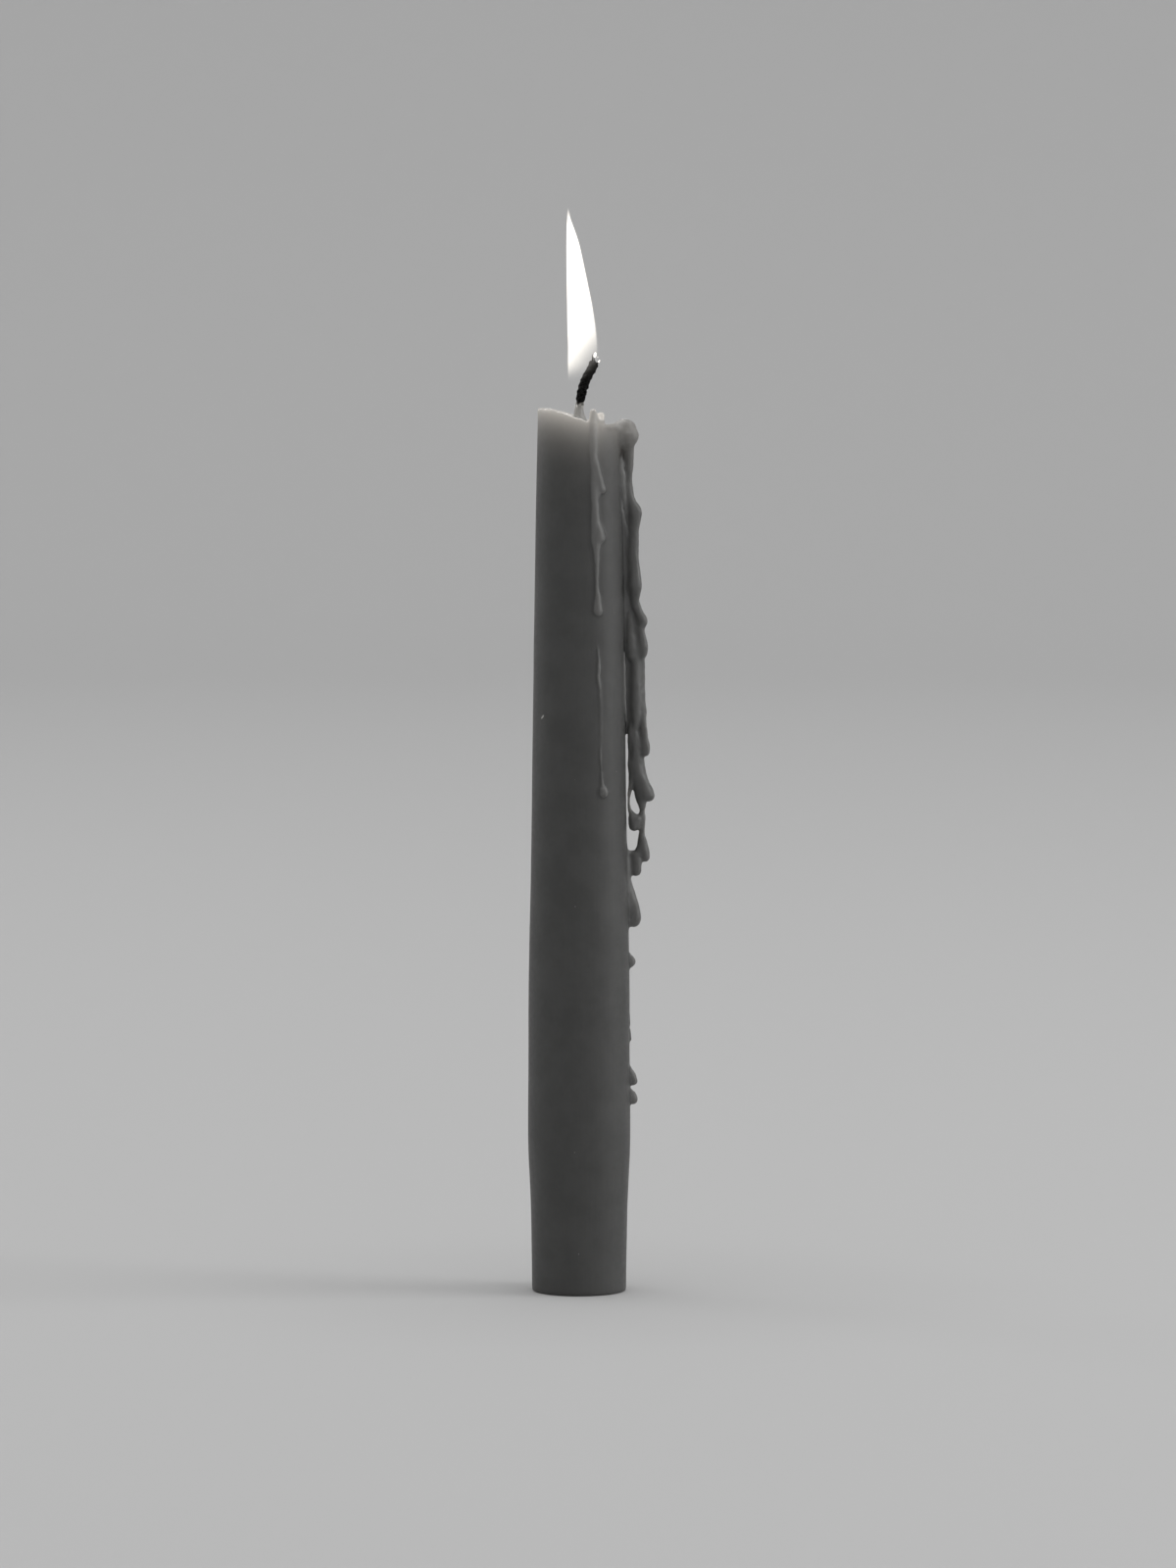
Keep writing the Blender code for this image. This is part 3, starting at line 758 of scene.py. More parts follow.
skin_tree, skin_shader = principled(wax)
in_mm = object_mm(skin_tree)
proud_of_stem = add(skin_tree, "ShaderNodeAttribute", attribute_name="proud").outputs["Fac"]
is_drip = add(skin_tree, MAP_RANGE, {"Value": proud_of_stem, **between(*FILM_PROUD)},
              interpolation_type="SMOOTHSTEP")
clouds = add(skin_tree, "ShaderNodeTexNoise",
             {"Vector": in_mm, "Scale": CLOUD_SCALE, "Detail": 4.0, "Roughness": 0.6})
cloudy = add(skin_tree, MAP_RANGE, {"Value": clouds, **between(*CLOUD_EDGE)},
             interpolation_type="SMOOTHSTEP")
stem_tone = add(skin_tree, "ShaderNodeMix",
                {"Factor": cloudy, 6: linear(STEM_DARK), 7: linear(STEM_TONE)},
                data_type="RGBA")
is_thick = add(skin_tree, MAP_RANGE, {"Value": proud_of_stem, **between(*THICK_PROUD)},
               interpolation_type="SMOOTHSTEP")
drip_tone_with_painted_light = add(skin_tree, "ShaderNodeMix",
                {"Factor": is_thick, 6: linear(FILM_TONE_WITH_PAINTED_LIGHT), 7: linear(THICK_TONE)},
                data_type="RGBA")
body_tone = add(skin_tree, "ShaderNodeMix", {"Factor": is_drip, 6: stem_tone, 7: drip_tone_with_painted_light},
                data_type="RGBA")

# %% Dipped wax: specks and a chip
SPECK_TONE = "#a9a8a4"
SPECK_SCALE = 0.25                   # at most one speck in every 4 mm of skin
SPECK_EDGE = (0.035, 0.02)           # its rim and middle, as shares of those 4 mm
SPECKS_LEFT_OUT, SPECK_SHOWS = 0.72, 0.4
CHIP = (-7.75, -6.05, 123.7)         # a knock that left a pale chip in the skin
CHIP_LONG = (0.75, -0.95, 1.0)       # its long way, slanting over the skin, scaled to 1
CHIP_WIDE = (1.8, -2.3, -3.4)        # and its short way
CHIP_EDGE, CHIP_RAGGED, CHIP_SCALE = (1.25, 0.95), 0.5, 3.0  # its edge breaks unevenly

speck_cells = add(skin_tree, "ShaderNodeTexVoronoi", {"Vector": in_mm, "Scale": SPECK_SCALE})
speck = add(skin_tree, MAP_RANGE, {"Value": speck_cells,
                                   **between(*SPECK_EDGE, 0.0, SPECK_SHOWS)})
rare = add(skin_tree, "ShaderNodeSeparateColor", {0: speck_cells.outputs["Color"]})
chosen = chain(skin_tree, MATH, rare, ("GREATER_THAN", SPECKS_LEFT_OUT))
old_skin = chain(skin_tree, MATH, 1.0, ("SUBTRACT", is_drip))
stem_specks = chain(skin_tree, MATH, speck, ("MULTIPLY", chosen), ("MULTIPLY", old_skin))

from_chip = chain(skin_tree, VECTOR_MATH, in_mm, ("SUBTRACT", CHIP))
chip_edge = add(skin_tree, "ShaderNodeTexNoise", {"Vector": in_mm, "Scale": CHIP_SCALE})
chip_far = 0.0                       # an ellipse: the squares of both ways, added up
for way in (CHIP_LONG, CHIP_WIDE):
    along_way = chain(skin_tree, VECTOR_MATH, from_chip, ("DOT_PRODUCT", way))
    chip_far = chain(skin_tree, MATH, along_way, ("MULTIPLY_ADD", along_way, chip_far))
chip_ragged = chain(skin_tree, MATH, chip_edge, ("MULTIPLY_ADD", CHIP_RAGGED, chip_far))
chip = add(skin_tree, MAP_RANGE, {"Value": chip_ragged, **between(*CHIP_EDGE)})
marks = chain(skin_tree, MATH, stem_specks, ("MAXIMUM", chip))
marked_tone = add(skin_tree, "ShaderNodeMix",
                  {"Factor": marks, 6: body_tone, 7: linear(SPECK_TONE)}, data_type="RGBA")
fill(skin_shader, {"Base Color": marked_tone})

# %% Dipped wax: gloss, scattering and skin
GRAIN_SCALE, GRAIN_EDGE = 0.9, (0.3, 0.7)                # a skin grain of about 1 mm
STREAK_SCALE = (1.1, 1.1, 0.05)      # streaks 1 mm wide and 20 mm long, from dipping
STEM_ROUGH = (0.44, 0.56)
DRIP_SMOOTHER = 0.03                 # how much less rough a drip is
WET_BEAD = (4.6, -6.9, 187.8)        # the newest bead on the rim is still liquid
WET_REACH, WET_ROUGH = (1.5, 0.7), 0.07                  # mm round that place
WAX_IOR = 1.44
SCATTER_SHARE, SCATTER_MIX = 0.6, (1.0, 0.95, 0.9)
SCATTER = 0.003                      # metres that light travels inside the wax

grain = add(skin_tree, "ShaderNodeTexNoise",
            {"Vector": in_mm, "Scale": GRAIN_SCALE, "Detail": 5.0, "Roughness": 0.55})
drawn = chain(skin_tree, VECTOR_MATH, in_mm, ("MULTIPLY", STREAK_SCALE))
streaks = add(skin_tree, "ShaderNodeTexNoise", {"Vector": drawn, "Scale": 1.0, "Detail": 3.0})
dull = add(skin_tree, MAP_RANGE, {"Value": grain, **between(*GRAIN_EDGE, *STEM_ROUGH)})
gloss = add(skin_tree, MAP_RANGE, {"Value": is_drip, "To Min": 0.0, "To Max": DRIP_SMOOTHER})
rough = chain(skin_tree, MATH, dull, ("SUBTRACT", gloss))
from_bead = chain(skin_tree, VECTOR_MATH, in_mm, ("DISTANCE", WET_BEAD))
wet = add(skin_tree, MAP_RANGE, {"Value": from_bead, **between(*WET_REACH)},
          interpolation_type="SMOOTHSTEP")
dried = add(skin_tree, "ShaderNodeMix", {0: wet, 2: rough, 3: WET_ROUGH}, data_type="FLOAT")

bumps = {}                           # each bump stands on the one before
for height_map, strength, deep in ((grain, 0.55, 0.04), (streaks, 0.5, 0.05),
                                   (marks, 0.8, 0.12)):  # deep in mm
    bumps = {"Normal": add(skin_tree, "ShaderNodeBump",
                           {"Strength": strength, "Distance": deep * MM,
                            "Height": height_map, **bumps})}
fill(skin_shader, {"Roughness": dried, "IOR": WAX_IOR, "Subsurface Weight": SCATTER_SHARE,
                   "Subsurface Radius": SCATTER_MIX, "Subsurface Scale": SCATTER, **bumps})

# %% Dipped wax: painted glow of the flame's light inside the rim
PAINTED_GLOW_TONE, PAINTED_GLOW_LEVEL = "#fff8ee", 0.33
GLOW_REACH = 3.1                     # mm over which wax swallows all but a third of the light
WALL_THICKENS, WALL_PASSES = (3.8, 6.2), 0.52            # mm in x, towards the knob
RUN_PASSES = 0.6                     # a run on the wall swallows the rest
BEAD_PAINTED_GLINT = 0.75                     # painted glint: more emission on the liquid bead, for flame light caught in it

# Painted glow: an emission stands for the flame's light through the thin wall, fading down from
# the rim, weaker where the wall or a run on it is thick.
rim_slope = (RIM_FALL / STEM_PROFILE[-1][1], 0.0, 1.0)
up_to = chain(skin_tree, VECTOR_MATH, in_mm, ("DOT_PRODUCT", rim_slope))
under = chain(skin_tree, MATH, RIM_HEIGHT, ("SUBTRACT", up_to), ("MAXIMUM", 0.0))
glow = chain(skin_tree, MATH, math.exp(-1 / GLOW_REACH), ("POWER", under))
skin_axes = add(skin_tree, "ShaderNodeSeparateXYZ", {0: in_mm})
thin = add(skin_tree, MAP_RANGE, {"Value": skin_axes.outputs["X"],
                                  **between(*WALL_THICKENS, 1.0, WALL_PASSES)})
behind_run = add(skin_tree, MAP_RANGE, {"Value": is_drip, "To Min": 1.0, "To Max": RUN_PASSES})
through = chain(skin_tree, MATH, glow, ("MULTIPLY", thin), ("MULTIPLY", behind_run))
# The liquid bead adds a painted glint to the painted glow.
painted_glow = chain(skin_tree, MATH, wet, ("MULTIPLY_ADD", BEAD_PAINTED_GLINT, through))
painted_glow_color = add(skin_tree, "ShaderNodeMix",
                {"Factor": painted_glow, 6: (0, 0, 0, 1), 7: linear(PAINTED_GLOW_TONE)}, data_type="RGBA",
                clamp_factor=False)
fill(skin_shader, {"Emission Color": painted_glow_color, "Emission Strength": PAINTED_GLOW_LEVEL})
print(wax.name, "has", len(skin_tree.nodes), "nodes")

# %% [markdown]
# ## The wick
#
# A candle's wick is a braid of cotton yarns. Four go round one way and four the other, and
# each passes over and under those it meets. A rule gives that: a yarn turns round the axis
# as it climbs, and its distance from the axis swings out and in, in step with the crossings.
# Geometry Nodes copy the axis once for each yarn and move every point by the rule. The wick
# leans and hooks where it burns, so its axis is a bent curve, and its yarns end unevenly.

# %% Axis of the wick
WICK_AXIS = (                        # x, y, height in mm
    (0, 0, 4.2), (0, 0, 60), (0, 0, 120), (0, 0, 176), (0, 0, 183), (0.02, 0, 187),
    (0.22, 0, 190.4), (0.9, 0, 193.7), (1.8, 0, 196.0), (2.75, 0, 197.7), (3.2, 0, 198.9),
)
YARNS = 8
YARN_RADIUS, BRAID_RADIUS, CROSSING = 0.32, 0.5, 0.12     # mm
BRAID_PITCH = 5.2                    # mm for one turn of a yarn

wick_axis = curve_object("wick axis", [WICK_AXIS])
print("wick %.0f mm long" % sum(map(math.dist, WICK_AXIS, WICK_AXIS[1:])))

# %% Tree: the angle and the reach of each yarn
braid, braid_in, braid_out = empty_tree("braided wick", [
    ("Yarns", "Int"), ("Yarn radius", "Float"), ("Braid radius", "Float"),
    ("Crossing", "Float"), ("Pitch", "Float"), ("Step", "Float"), ("Char from", "Float"),
    ("Seed", "Int"), ("Cotton", "Material"),
])
axis_smooth = add(braid, "GeometryNodeCurveSplineType",
                  {"Curve": braid_in.outputs["Geometry"]}, spline_type="CATMULL_ROM")
axis_steps = add(braid, "GeometryNodeResampleCurve",
                 {"Curve": axis_smooth, "Length": braid_in.outputs["Step"]}, mode="LENGTH")
copies = add(braid, "GeometryNodeDuplicateElements",
             {"Geometry": axis_steps, "Amount": braid_in.outputs["Yarns"]}, domain="SPLINE")
yarn = copies.outputs["Duplicate Index"]
way = chain(braid, MATH, yarn, ("MODULO", 2.0), ("MULTIPLY_ADD", -2.0, 1.0))
start = chain(braid, MATH, yarn, ("DIVIDE", 2.0), ("FLOOR",),
              ("MULTIPLY", math.tau / (YARNS // 2)))
along = add(braid, "GeometryNodeSplineParameter")
turn_up = chain(braid, MATH, along.outputs["Length"], ("DIVIDE", braid_in.outputs["Pitch"]),
                ("MULTIPLY", math.tau))
angle = chain(braid, MATH, turn_up, ("MULTIPLY_ADD", way, start))
out_by = chain(braid, MATH, turn_up, ("MULTIPLY", float(YARNS // 2)), ("COSINE",),
               ("MULTIPLY", way), ("MULTIPLY_ADD", braid_in.outputs["Crossing"],
                                   braid_in.outputs["Braid radius"]))

# %% Tree: wind the yarns and give them a section
YARN_ENDS = (0.994, 1.0)             # share of the axis at which one yarn or another stops
YARN_SIDES = 6

cosine = chain(braid, MATH, angle, ("COSINE",))
sine = chain(braid, MATH, angle, ("SINE",))
curve_normal = add(braid, "GeometryNodeInputNormal")
tangent = add(braid, "GeometryNodeInputTangent")
binormal = chain(braid, VECTOR_MATH, tangent, ("CROSS_PRODUCT", curve_normal))
one_way = add(braid, VECTOR_MATH, {0: curve_normal, "Scale": cosine}, operation="SCALE")
other_way = add(braid, VECTOR_MATH, {0: binormal, "Scale": sine}, operation="SCALE")
outward = chain(braid, VECTOR_MATH, one_way, ("ADD", other_way))
shift = add(braid, VECTOR_MATH, {0: outward, "Scale": out_by}, operation="SCALE")
wound = add(braid, "GeometryNodeSetPosition", {"Geometry": copies, "Offset": shift})
uneven = add(braid, "FunctionNodeRandomValue",
             {2: YARN_ENDS[0], 3: YARN_ENDS[1], "ID": yarn, "Seed": braid_in.outputs["Seed"]})
cut = add(braid, "GeometryNodeTrimCurve", {"Curve": wound, "End": uneven}, mode="FACTOR")
ring = add(braid, "GeometryNodeCurvePrimitiveCircle",
           {"Resolution": YARN_SIDES, "Radius": braid_in.outputs["Yarn radius"]})
yarns = add(braid, "GeometryNodeCurveToMesh",
            {"Curve": cut, "Profile Curve": ring.outputs["Curve"], "Fill Caps": True})

# %% Tree: burn the top of the braid
CHAR_RISE = 1.5                      # mm over which the char takes hold
CRACK_SCALE, CRACK_FROM = 1.9, 0.2   # lumps of char half a millimetre across
CHAR_SWELL = 0.64                    # mm for the whole swing of the lumps

spot = add(braid, "GeometryNodeInputPosition")
spot_mm = add(braid, VECTOR_MATH, {0: spot, "Scale": 1 / MM}, operation="SCALE")
spot_axes = add(braid, "ShaderNodeSeparateXYZ", {0: spot_mm})
char_from = braid_in.outputs["Char from"]
above_char = chain(braid, MATH, char_from, ("ADD", CHAR_RISE))
burnt = add(braid, MAP_RANGE, {"Value": spot_axes.outputs["Z"],
                               **between(char_from, above_char)})
cracks = add(braid, "ShaderNodeTexNoise",
             {"Vector": spot_mm, "Scale": CRACK_SCALE, "Detail": 2.0})
swell_by = chain(braid, MATH, cracks, ("SUBTRACT", CRACK_FROM), ("MULTIPLY", burnt),
                 ("MULTIPLY", CHAR_SWELL * MM))
skin_out = add(braid, "GeometryNodeInputNormal")
bulge = add(braid, VECTOR_MATH, {0: skin_out, "Scale": swell_by}, operation="SCALE")
charred = add(braid, "GeometryNodeSetPosition", {"Geometry": yarns, "Offset": bulge})
cord_smooth = add(braid, "GeometryNodeSetShadeSmooth", {"Geometry": charred})
cord_real = add(braid, "GeometryNodeRealizeInstances", {"Geometry": cord_smooth})
cord_dressed = add(braid, "GeometryNodeSetMaterial",
                   {"Geometry": cord_real, "Material": braid_in.outputs["Cotton"]})
fill(braid_out, {0: cord_dressed})
print("the braid's tree:", len(braid.nodes), "nodes")

# %% Braid it
CHAR_HEIGHT = 190.1                  # mm, where the cotton turns black
WICK_STEP, YARN_SEED = 0.3, 3        # mm between a yarn's points; which yarns end early

cotton = bpy.data.materials.new("burnt cotton")
wick = grown(wick_axis, braid, {
    "Yarns": YARNS, "Yarn radius": YARN_RADIUS * MM, "Braid radius": BRAID_RADIUS * MM,
    "Crossing": CROSSING * MM, "Pitch": BRAID_PITCH * MM, "Step": WICK_STEP * MM,
    "Char from": CHAR_HEIGHT, "Seed": YARN_SEED, "Cotton": cotton,
}, "wick_looks")
print("wick:", len(wick.data.polygons), "faces")

# %% [markdown]
# A few threads stand out of the burnt end. Each is a thin cone swept along three or four
# points, joined to the braid's mesh.

# %% Loose threads at the tip
THREADS = (                          # points (x, y, height, radius) in mm
    ((2.75, 0.0, 197.6, 0.34), (2.85, 0.0, 198.9, 0.26), (2.9, -0.05, 199.8, 0.16),
     (2.82, -0.1, 200.6, 0.04)),
    ((3.3, -0.2, 198.2, 0.3), (3.75, -0.25, 198.7, 0.2), (4.15, -0.3, 198.9, 0.06)),
    ((3.1, 0.3, 198.3, 0.28), (3.3, 0.45, 199.2, 0.18), (3.2, 0.6, 199.9, 0.05)),
)
THREAD_SIDES = 8


def thread(bm, points):
    """A closed tapering tube through the points."""
    loops = []
    for k, (*middle, radius) in enumerate(points):
        low, high = points[max(k - 1, 0)], points[min(k + 1, len(points) - 1)]
        heading = (Vector(high[:3]) - Vector(low[:3])).normalized()
        one_side = heading.cross(Vector((0, 1, 0))).normalized()
        other_side = heading.cross(one_side)
        loops.append([
            bm.verts.new((Vector(middle) + (one_side * math.cos(t) + other_side * math.sin(t))
                          * radius) * MM) for t in full_turn(THREAD_SIDES)])
    bm.faces.new(reversed(loops[0]))
    bm.faces.new(loops[-1])
    lofted(bm, loops)


bm = bmesh.new()
bm.from_mesh(wick.data)
for points in THREADS:
    thread(bm, points)
for face in bm.faces:
    face.smooth = True
bmesh.ops.recalc_face_normals(bm, faces=bm.faces[:])
bm.to_mesh(wick.data)
bm.free()
print("wick and threads:", len(wick.data.polygons), "faces")

# %% [markdown]
# The finish of a burnt wick is soot: near black, quite matt, with grey ash on the ridges.
# Below the burnt part the cotton is soaked with wax and looks like wet grey thread. The edge
# between them is ragged, because each yarn chars on its own.

# %% Burnt cotton
SOOT, ASH, SOAKED = "#0b0a0a", "#2c2b2a", "#a3a19c"
CHAR_LINE = (0.9, 1.5)               # mm above CHAR_HEIGHT, before the rag is added
RAG, RAG_SCALE = 2.4, 1.3            # mm that the line wanders, in steps of a yarn's width
FLAKE_SCALE, ASH_EDGE, ASH_SHOWS = 3.2, (0.56, 0.7), 0.7  # flakes of 0.3 mm
SOAKED_ROUGH, SOOT_ROUGH = 0.35, 0.95
SOOT_SHINE = 0.12                    # soot returns hardly any light

cord_tree, cord_shader = principled(cotton)
cord_mm = object_mm(cord_tree)
cord_axes = add(cord_tree, "ShaderNodeSeparateXYZ", {0: cord_mm})
rag = add(cord_tree, "ShaderNodeTexNoise",
          {"Vector": cord_mm, "Scale": RAG_SCALE, "Detail": 2.0})
ragged = chain(cord_tree, MATH, rag, ("MULTIPLY_ADD", RAG, cord_axes.outputs["Z"]))
is_char = add(cord_tree, MAP_RANGE, {"Value": ragged,
                                     **between(*(CHAR_HEIGHT + line for line in CHAR_LINE))})
flakes = add(cord_tree, "ShaderNodeTexNoise",
             {"Vector": cord_mm, "Scale": FLAKE_SCALE, "Detail": 3.0})
is_ash = add(cord_tree, MAP_RANGE, {"Value": flakes, **between(*ASH_EDGE, 0.0, ASH_SHOWS)})
soot_tone = add(cord_tree, "ShaderNodeMix",
                {"Factor": is_ash, 6: linear(SOOT), 7: linear(ASH)}, data_type="RGBA")
cord_tone = add(cord_tree, "ShaderNodeMix",
                {"Factor": is_char, 6: linear(SOAKED), 7: soot_tone}, data_type="RGBA")
cord_rough = add(cord_tree, MAP_RANGE,
                 {"Value": is_char, "To Min": SOAKED_ROUGH, "To Max": SOOT_ROUGH})
fluff = add(cord_tree, "ShaderNodeBump",
            {"Strength": 0.8, "Distance": 0.08 * MM, "Height": flakes})
fill(cord_shader, {"Base Color": cord_tone, "Roughness": cord_rough, "Normal": fluff,
                   "Specular IOR Level": SOOT_SHINE})
print(cotton.name, "has", len(cord_tree.nodes), "nodes")

# %% [markdown]
# ## Liquid wax
#
# The flame keeps a shallow pool of melted wax in the cup. Its surface is flat in the middle,
# climbs the wick in a steep cone, and creeps up the wall at the shore: both are made by
# surface tension. The pool is a profile turned round the wick whose shore follows the cup,
# closed below so that it is a solid.

# %% Section of the melt pool
POOL_LEVEL = 184.0
CONE = ((0.62, 189.95), (0.84, 189.7), (0.92, 189.1), (1.02, 188.4), (1.18, 187.7),
        (1.45, 187.0), (1.9, 186.2), (2.5, 185.3), (3.2, 184.55), (4.2, 184.1))
CONE_WAVES = ((2, 0.4, 0.05), (3, 4.0, 0.03), (5, 1.2, 0.02))   # count, start, share
CREEP = 0.5                          # mm that the liquid climbs the cup's wall
POOL_SINK = 0.08                     # mm that the pool's underside lies in the wall
POOL_HOLE = 0.3                      # mm, radius at which the underside ends
POOL_TURNS, SHORE_STEPS = 72, 8
SHORE_POWER = 6                      # the creep is steep, close to the shore


def cup_depth(turn):
    """Depth of the hollow below the lip."""
    return rim_height(turn) - LIP_RADIUS - CUP_FLOOR


def cup_height(radius, turn):
    """Height of the hollow's wall at a radius."""
    return CUP_FLOOR + cup_depth(turn) * (radius / LIP_MIDDLE) ** CUP_POWER


def shore_radius(turn, level):
    """Radius at which the cup's wall reaches a level."""
    return LIP_MIDDLE * ((level - CUP_FLOOR) / cup_depth(turn)) ** (1 / CUP_POWER)


def pool_section(turn):
    """Points (radius, height) from the wick out along the surface and back underneath."""
    shore = shore_radius(turn, POOL_LEVEL + CREEP)
    wave_round = 1 + sum(size * math.sin(count * turn + begin)
                         for count, begin, size in CONE_WAVES)
    section = [(radius * wave_round, height) for radius, height in CONE]
    section[-1] = CONE[-1]
    for k in range(1, SHORE_STEPS + 1):
        out_by = k / SHORE_STEPS
        section.append((CONE[-1][0] + (shore - CONE[-1][0]) * out_by,
                        POOL_LEVEL + CREEP * out_by ** SHORE_POWER))
    for k in range(SHORE_STEPS):
        back_at = shore + (POOL_HOLE - shore) * (k + 1) / SHORE_STEPS
        section.append((back_at, cup_height(back_at, turn) - POOL_SINK))
    return section


# %% Melt pool
melted_wax = bpy.data.materials.new("melted paraffin")
bm = bmesh.new()
columns = [[bm.verts.new((r * math.cos(turn) * MM, r * math.sin(turn) * MM, z * MM))
            for r, z in pool_section(turn)] for turn in full_turn(POOL_TURNS)]
rings = list(zip(*columns))
lofted(bm, rings)
bm.faces.new(rings[0])
bm.faces.new(reversed(rings[-1]))
bmesh.ops.recalc_face_normals(bm, faces=bm.faces[:])
melt_pool = smooth_object(bm, "melt_pool_looks", melted_wax)

# %% [markdown]
# Melted paraffin is nearly clear and as glossy as water. It lies on the wax that it came
# from, under the flame, and looks like that wax in a paler tone: partly the clearer
# liquid's own, and partly painted light for the flame's light on and in it. Where the cone
# rises round the wick it is cooler and starts to cloud, so it is rougher there.

# %% Melted paraffin
# The pale tones are partly painted light: the flame above lights the pool.
POOL_DARK, POOL_PALE = "#7b7a77", "#a09f9c"
SWIRL_SCALE = 0.35                   # swirls about 3 mm across
NECK, NECK_ROUGH = (184.6, 186.8), (0.12, 0.42)          # mm high, and how rough
LIQUID_IOR = 1.43
LIQUID_SCATTER = 0.8

pool_tree, pool_shader = principled(melted_wax)
pool_mm = object_mm(pool_tree)
swirl = add(pool_tree, "ShaderNodeTexNoise",
            {"Vector": pool_mm, "Scale": SWIRL_SCALE, "Detail": 2.0, "Distortion": 0.8})
swirl_tone = add(pool_tree, "ShaderNodeMix",
                 {"Factor": swirl, 6: linear(POOL_DARK), 7: linear(POOL_PALE)},
                 data_type="RGBA")
pool_axes = add(pool_tree, "ShaderNodeSeparateXYZ", {0: pool_mm})
neck_rough = add(pool_tree, MAP_RANGE,
                 {"Value": pool_axes.outputs["Z"], **between(*NECK, *NECK_ROUGH)})
ripple = add(pool_tree, "ShaderNodeBump",
             {"Strength": 0.2, "Distance": 0.05 * MM, "Height": swirl})
fill(pool_shader, {"Base Color": swirl_tone, "Roughness": neck_rough, "IOR": LIQUID_IOR,
                   "Subsurface Weight": LIQUID_SCATTER, "Subsurface Radius": SCATTER_MIX,
                   "Subsurface Scale": SCATTER, "Normal": ripple})
print(melted_wax.name, "has", len(pool_tree.nodes), "nodes")

# %% [markdown]
# ## The flame
#
# A flame isn't a solid, but its bright body of glowing soot has a clear shape: a leaf that
# leans, with a sharp tip. It is lofted through sections up its height. A core carries the
# full light and a thin veil round it softens the edge. Near the wick the flame has almost no
# soot, so it fades to clear there. Three grains of ash glow at the wick's tip.

# %% Flame sections and grains
FLAME_SECTIONS = (                   # height, middle in x, half width, in mm
    (189.8, 0.30, 0.60), (190.6, 0.38, 1.60), (192.2, 0.45, 2.60), (194.2, 0.55, 3.02),
    (196.5, 0.66, 3.20), (199.0, 0.75, 3.30), (202.4, 0.79, 3.25), (205.3, 0.63, 3.15),
    (208.3, 0.37, 2.95), (211.3, 0.09, 2.70), (214.2, -0.23, 2.43), (217.2, -0.56, 2.13),
    (220.4, -0.91, 1.80), (223.6, -1.27, 1.45), (225.6, -1.56, 1.13), (227.6, -1.90, 0.76),
    (229.0, -2.12, 0.46), (230.6, -2.28, 0.22),
)
FLAME_TIP = (-2.35, 232.2)
FLAME_DEPTH = 0.92                   # depth over width
FOOT_ROUND, TIP_NEST = 0.3, 5.0      # mm of round foot, and how the veils' tips nest
FLAME_SIDES, FLAME_STEPS = 40, 4     # points round, and rings between two sections
SHELLS = ((0.91, 1.0), (0.95, 0.55), (0.99, 0.25))    # share of width, how solid
SPARKS = (                           # foot, head and radius in mm
    ((3.3, -0.15, 199.9), (3.5, -0.15, 201.1), 0.3),
    ((4.05, -0.1, 198.75), (4.4, -0.1, 199.45), 0.2),
    ((3.95, -0.1, 199.9), (4.0, -0.1, 200.15), 0.07),
)
SPARK_LIGHT = 2.0                    # above 1, so that the fade near the wick spares them
SPARK_STEPS, SPARK_LOW, SPARK_ROUND = 8, 0.8, 0.6        # a grain is widest below its middle


def eased(table, steps):
    """More rows for a table of equal tuples, on a smooth curve through its rows."""
    padded = [table[0], *table, table[-1]]
    rows = []
    for a, b, c, d in zip(padded, padded[1:], padded[2:], padded[3:]):
        for k in range(steps):
            t = k / steps
            rows.append(tuple(
                0.5 * (2 * q + (r - p) * t + (2 * p - 5 * q + 4 * r - s) * t * t
                       + (3 * q - p - 3 * r + s) * t ** 3)
                for p, q, r, s in zip(a, b, c, d)))
    return rows + [table[-1]]


print("flame %.1f mm tall" % (FLAME_TIP[1] - FLAME_SECTIONS[0][0]))

# %% Flame shells and glowing grains
burning = bpy.data.materials.new("burning gas")
bm = bmesh.new()
solidity = bm.verts.layers.float.new("solidity")


def closed_shell(rings, foot, tip, solid_share):
    """A closed loft from the foot point through the rings to the tip point."""
    loops = [[bm.verts.new(Vector(p) * MM) for p in ring] for ring in rings]
    ends = [bm.verts.new(Vector(p) * MM) for p in (foot, tip)]
    for i in range(len(loops[0])):
        bm.faces.new((loops[0][i], loops[0][i - 1], ends[0]))
        bm.faces.new((loops[-1][i - 1], loops[-1][i], ends[1]))
    lofted(bm, loops)
    for vert in ends + [v for loop in loops for v in loop]:
        vert[solidity] = solid_share


flame_turns = full_turn(FLAME_SIDES)
for width_share, solid_share in SHELLS:
    closed_shell(
        [[(middle + half * width_share * math.cos(t),
           half * width_share * FLAME_DEPTH * math.sin(t), height) for t in flame_turns]
         for height, middle, half in eased(FLAME_SECTIONS, FLAME_STEPS)],
        (FLAME_SECTIONS[0][1], 0, FLAME_SECTIONS[0][0] - FOOT_ROUND * width_share),
        (FLAME_TIP[0], 0, FLAME_TIP[1] - TIP_NEST * (SHELLS[-1][0] - width_share)),
        solid_share)
for foot_point, head_point, size in SPARKS:
    spark_rings = []
    for k in range(1, SPARK_STEPS):
        up = k / SPARK_STEPS
        middle = Vector(foot_point).lerp(Vector(head_point), up)
        width = size * math.sin(math.pi * up ** SPARK_LOW) ** SPARK_ROUND
        spark_rings.append([middle + Vector((math.cos(t), math.sin(t), 0)) * width
                            for t in flame_turns[::4]])
    closed_shell(spark_rings, foot_point, head_point, SPARK_LIGHT)
flame = smooth_object(bm, "flame_looks", burning)

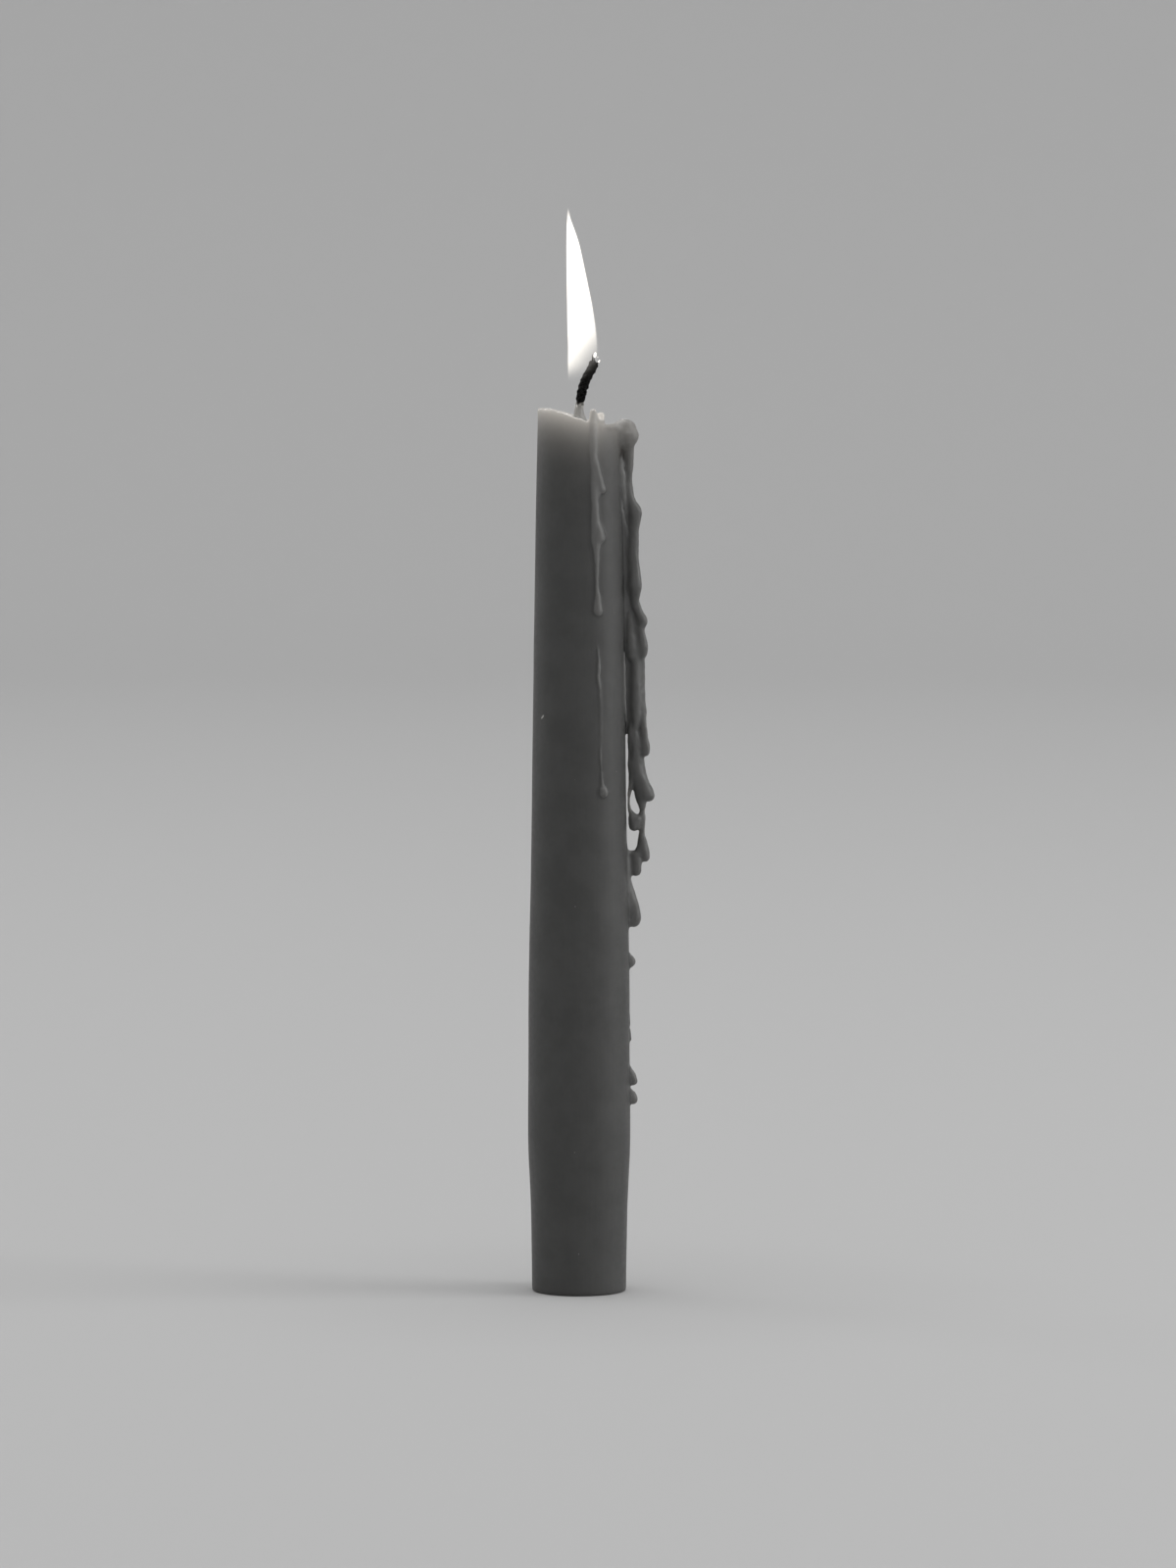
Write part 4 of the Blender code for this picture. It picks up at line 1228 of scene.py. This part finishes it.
# %% Burning gas
FLAME_TONE, FLAME_LIGHT = "#fffaf2", 1.6
CLEAR_WAY = (-1.27, 0.0, 1.0)        # the clear zone lies low and towards the wick
CLEAR_REACH, CLEAR_POWER = (190.0, 208.0), 3.2
FOOT_FADE = (194.5, 199.0)           # mm high: it ends above the liquid wax
TIP_FADE, TIP_LEFT, TIP_POWER = (232.0, 226.5), 0.02, 1.6    # and the tip thins to nothing
VEIL_MOST = 1.5                      # a shell is less solid than this, a grain more

fire_tree, fire_shader = principled(burning)
fire_mm = object_mm(fire_tree)
fade_place = chain(fire_tree, VECTOR_MATH, fire_mm, ("DOT_PRODUCT", CLEAR_WAY))
fade = add(fire_tree, MAP_RANGE, {"Value": fade_place, **between(*CLEAR_REACH)})
fire_height = add(fire_tree, "ShaderNodeSeparateXYZ", {0: fire_mm}).outputs["Z"]
foot_fade = add(fire_tree, MAP_RANGE, {"Value": fire_height, **between(*FOOT_FADE)},
                interpolation_type="SMOOTHSTEP")
tip_fade = add(fire_tree, MAP_RANGE, {"Value": fire_height,
                                      **between(*TIP_FADE, TIP_LEFT, 1.0)})
tip_thin = chain(fire_tree, MATH, tip_fade, ("POWER", TIP_POWER))
how_solid = add(fire_tree, "ShaderNodeAttribute", attribute_name="solidity").outputs["Fac"]
is_spark = chain(fire_tree, MATH, how_solid, ("GREATER_THAN", VEIL_MOST))
seen = chain(fire_tree, MATH, fade, ("POWER", CLEAR_POWER), ("MULTIPLY", foot_fade),
             ("MULTIPLY", tip_thin), ("MULTIPLY", how_solid), ("MAXIMUM", is_spark))
fill(fire_shader, {"Base Color": (0, 0, 0, 1), "Roughness": 1.0, "Specular IOR Level": 0.0,
                   "Emission Color": linear(FLAME_TONE), "Emission Strength": FLAME_LIGHT,
                   "Alpha": seen})
print(burning.name, "has", len(fire_tree.nodes), "nodes")

# %% [markdown]
# The flame's surface shows its light to the camera and in the glossy wax, but a lamp inside
# it lights the rim, because one small lamp gives a cleaner light than a glowing mesh. So the
# mesh neither lights the wax nor shades it.

# %% Lamp in the flame
FLAME_LAMP = (-0.5, 0.0, 212.0)      # mm, at the brightest part
FLAME_LAMP_RADIUS = 2.5              # mm
FLAME_POWER = 0.035                  # W

flame.visible_diffuse = False
flame.visible_shadow = False
flame_light = bpy.data.lights.new("flame light", "POINT")
flame_light.energy = FLAME_POWER
flame_light.shadow_soft_size = FLAME_LAMP_RADIUS * MM
flame_lamp = new_object("flame light", flame_light)
flame_lamp.location = Vector(FLAME_LAMP) * MM
flame_lamp.visible_camera = False
print("flame light %.0f mm above the flat end" % FLAME_LAMP[2])

# %% [markdown]
# ## Hand the pieces to the frame
#
# Each piece rides on the candle's one body, and the solid that it stands for is hidden.
# The last lines print its box beside the solids'.

# %% Ride and replace
for piece, node, slot in (
    (wax_body, "wax_body", "wax"), (wick, "wick", "charred_cotton"),
    (melt_pool, "melt_pool", "liquid_wax"), (flame, "flame", "flame_light"),
):
    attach(piece, "root")
    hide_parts(node)

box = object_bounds()
for label, corners in (("solids", cad_box), ("looks", box)):
    print(label, [[round(c * 1000, 2) for c in corner] for corner in corners], "mm")
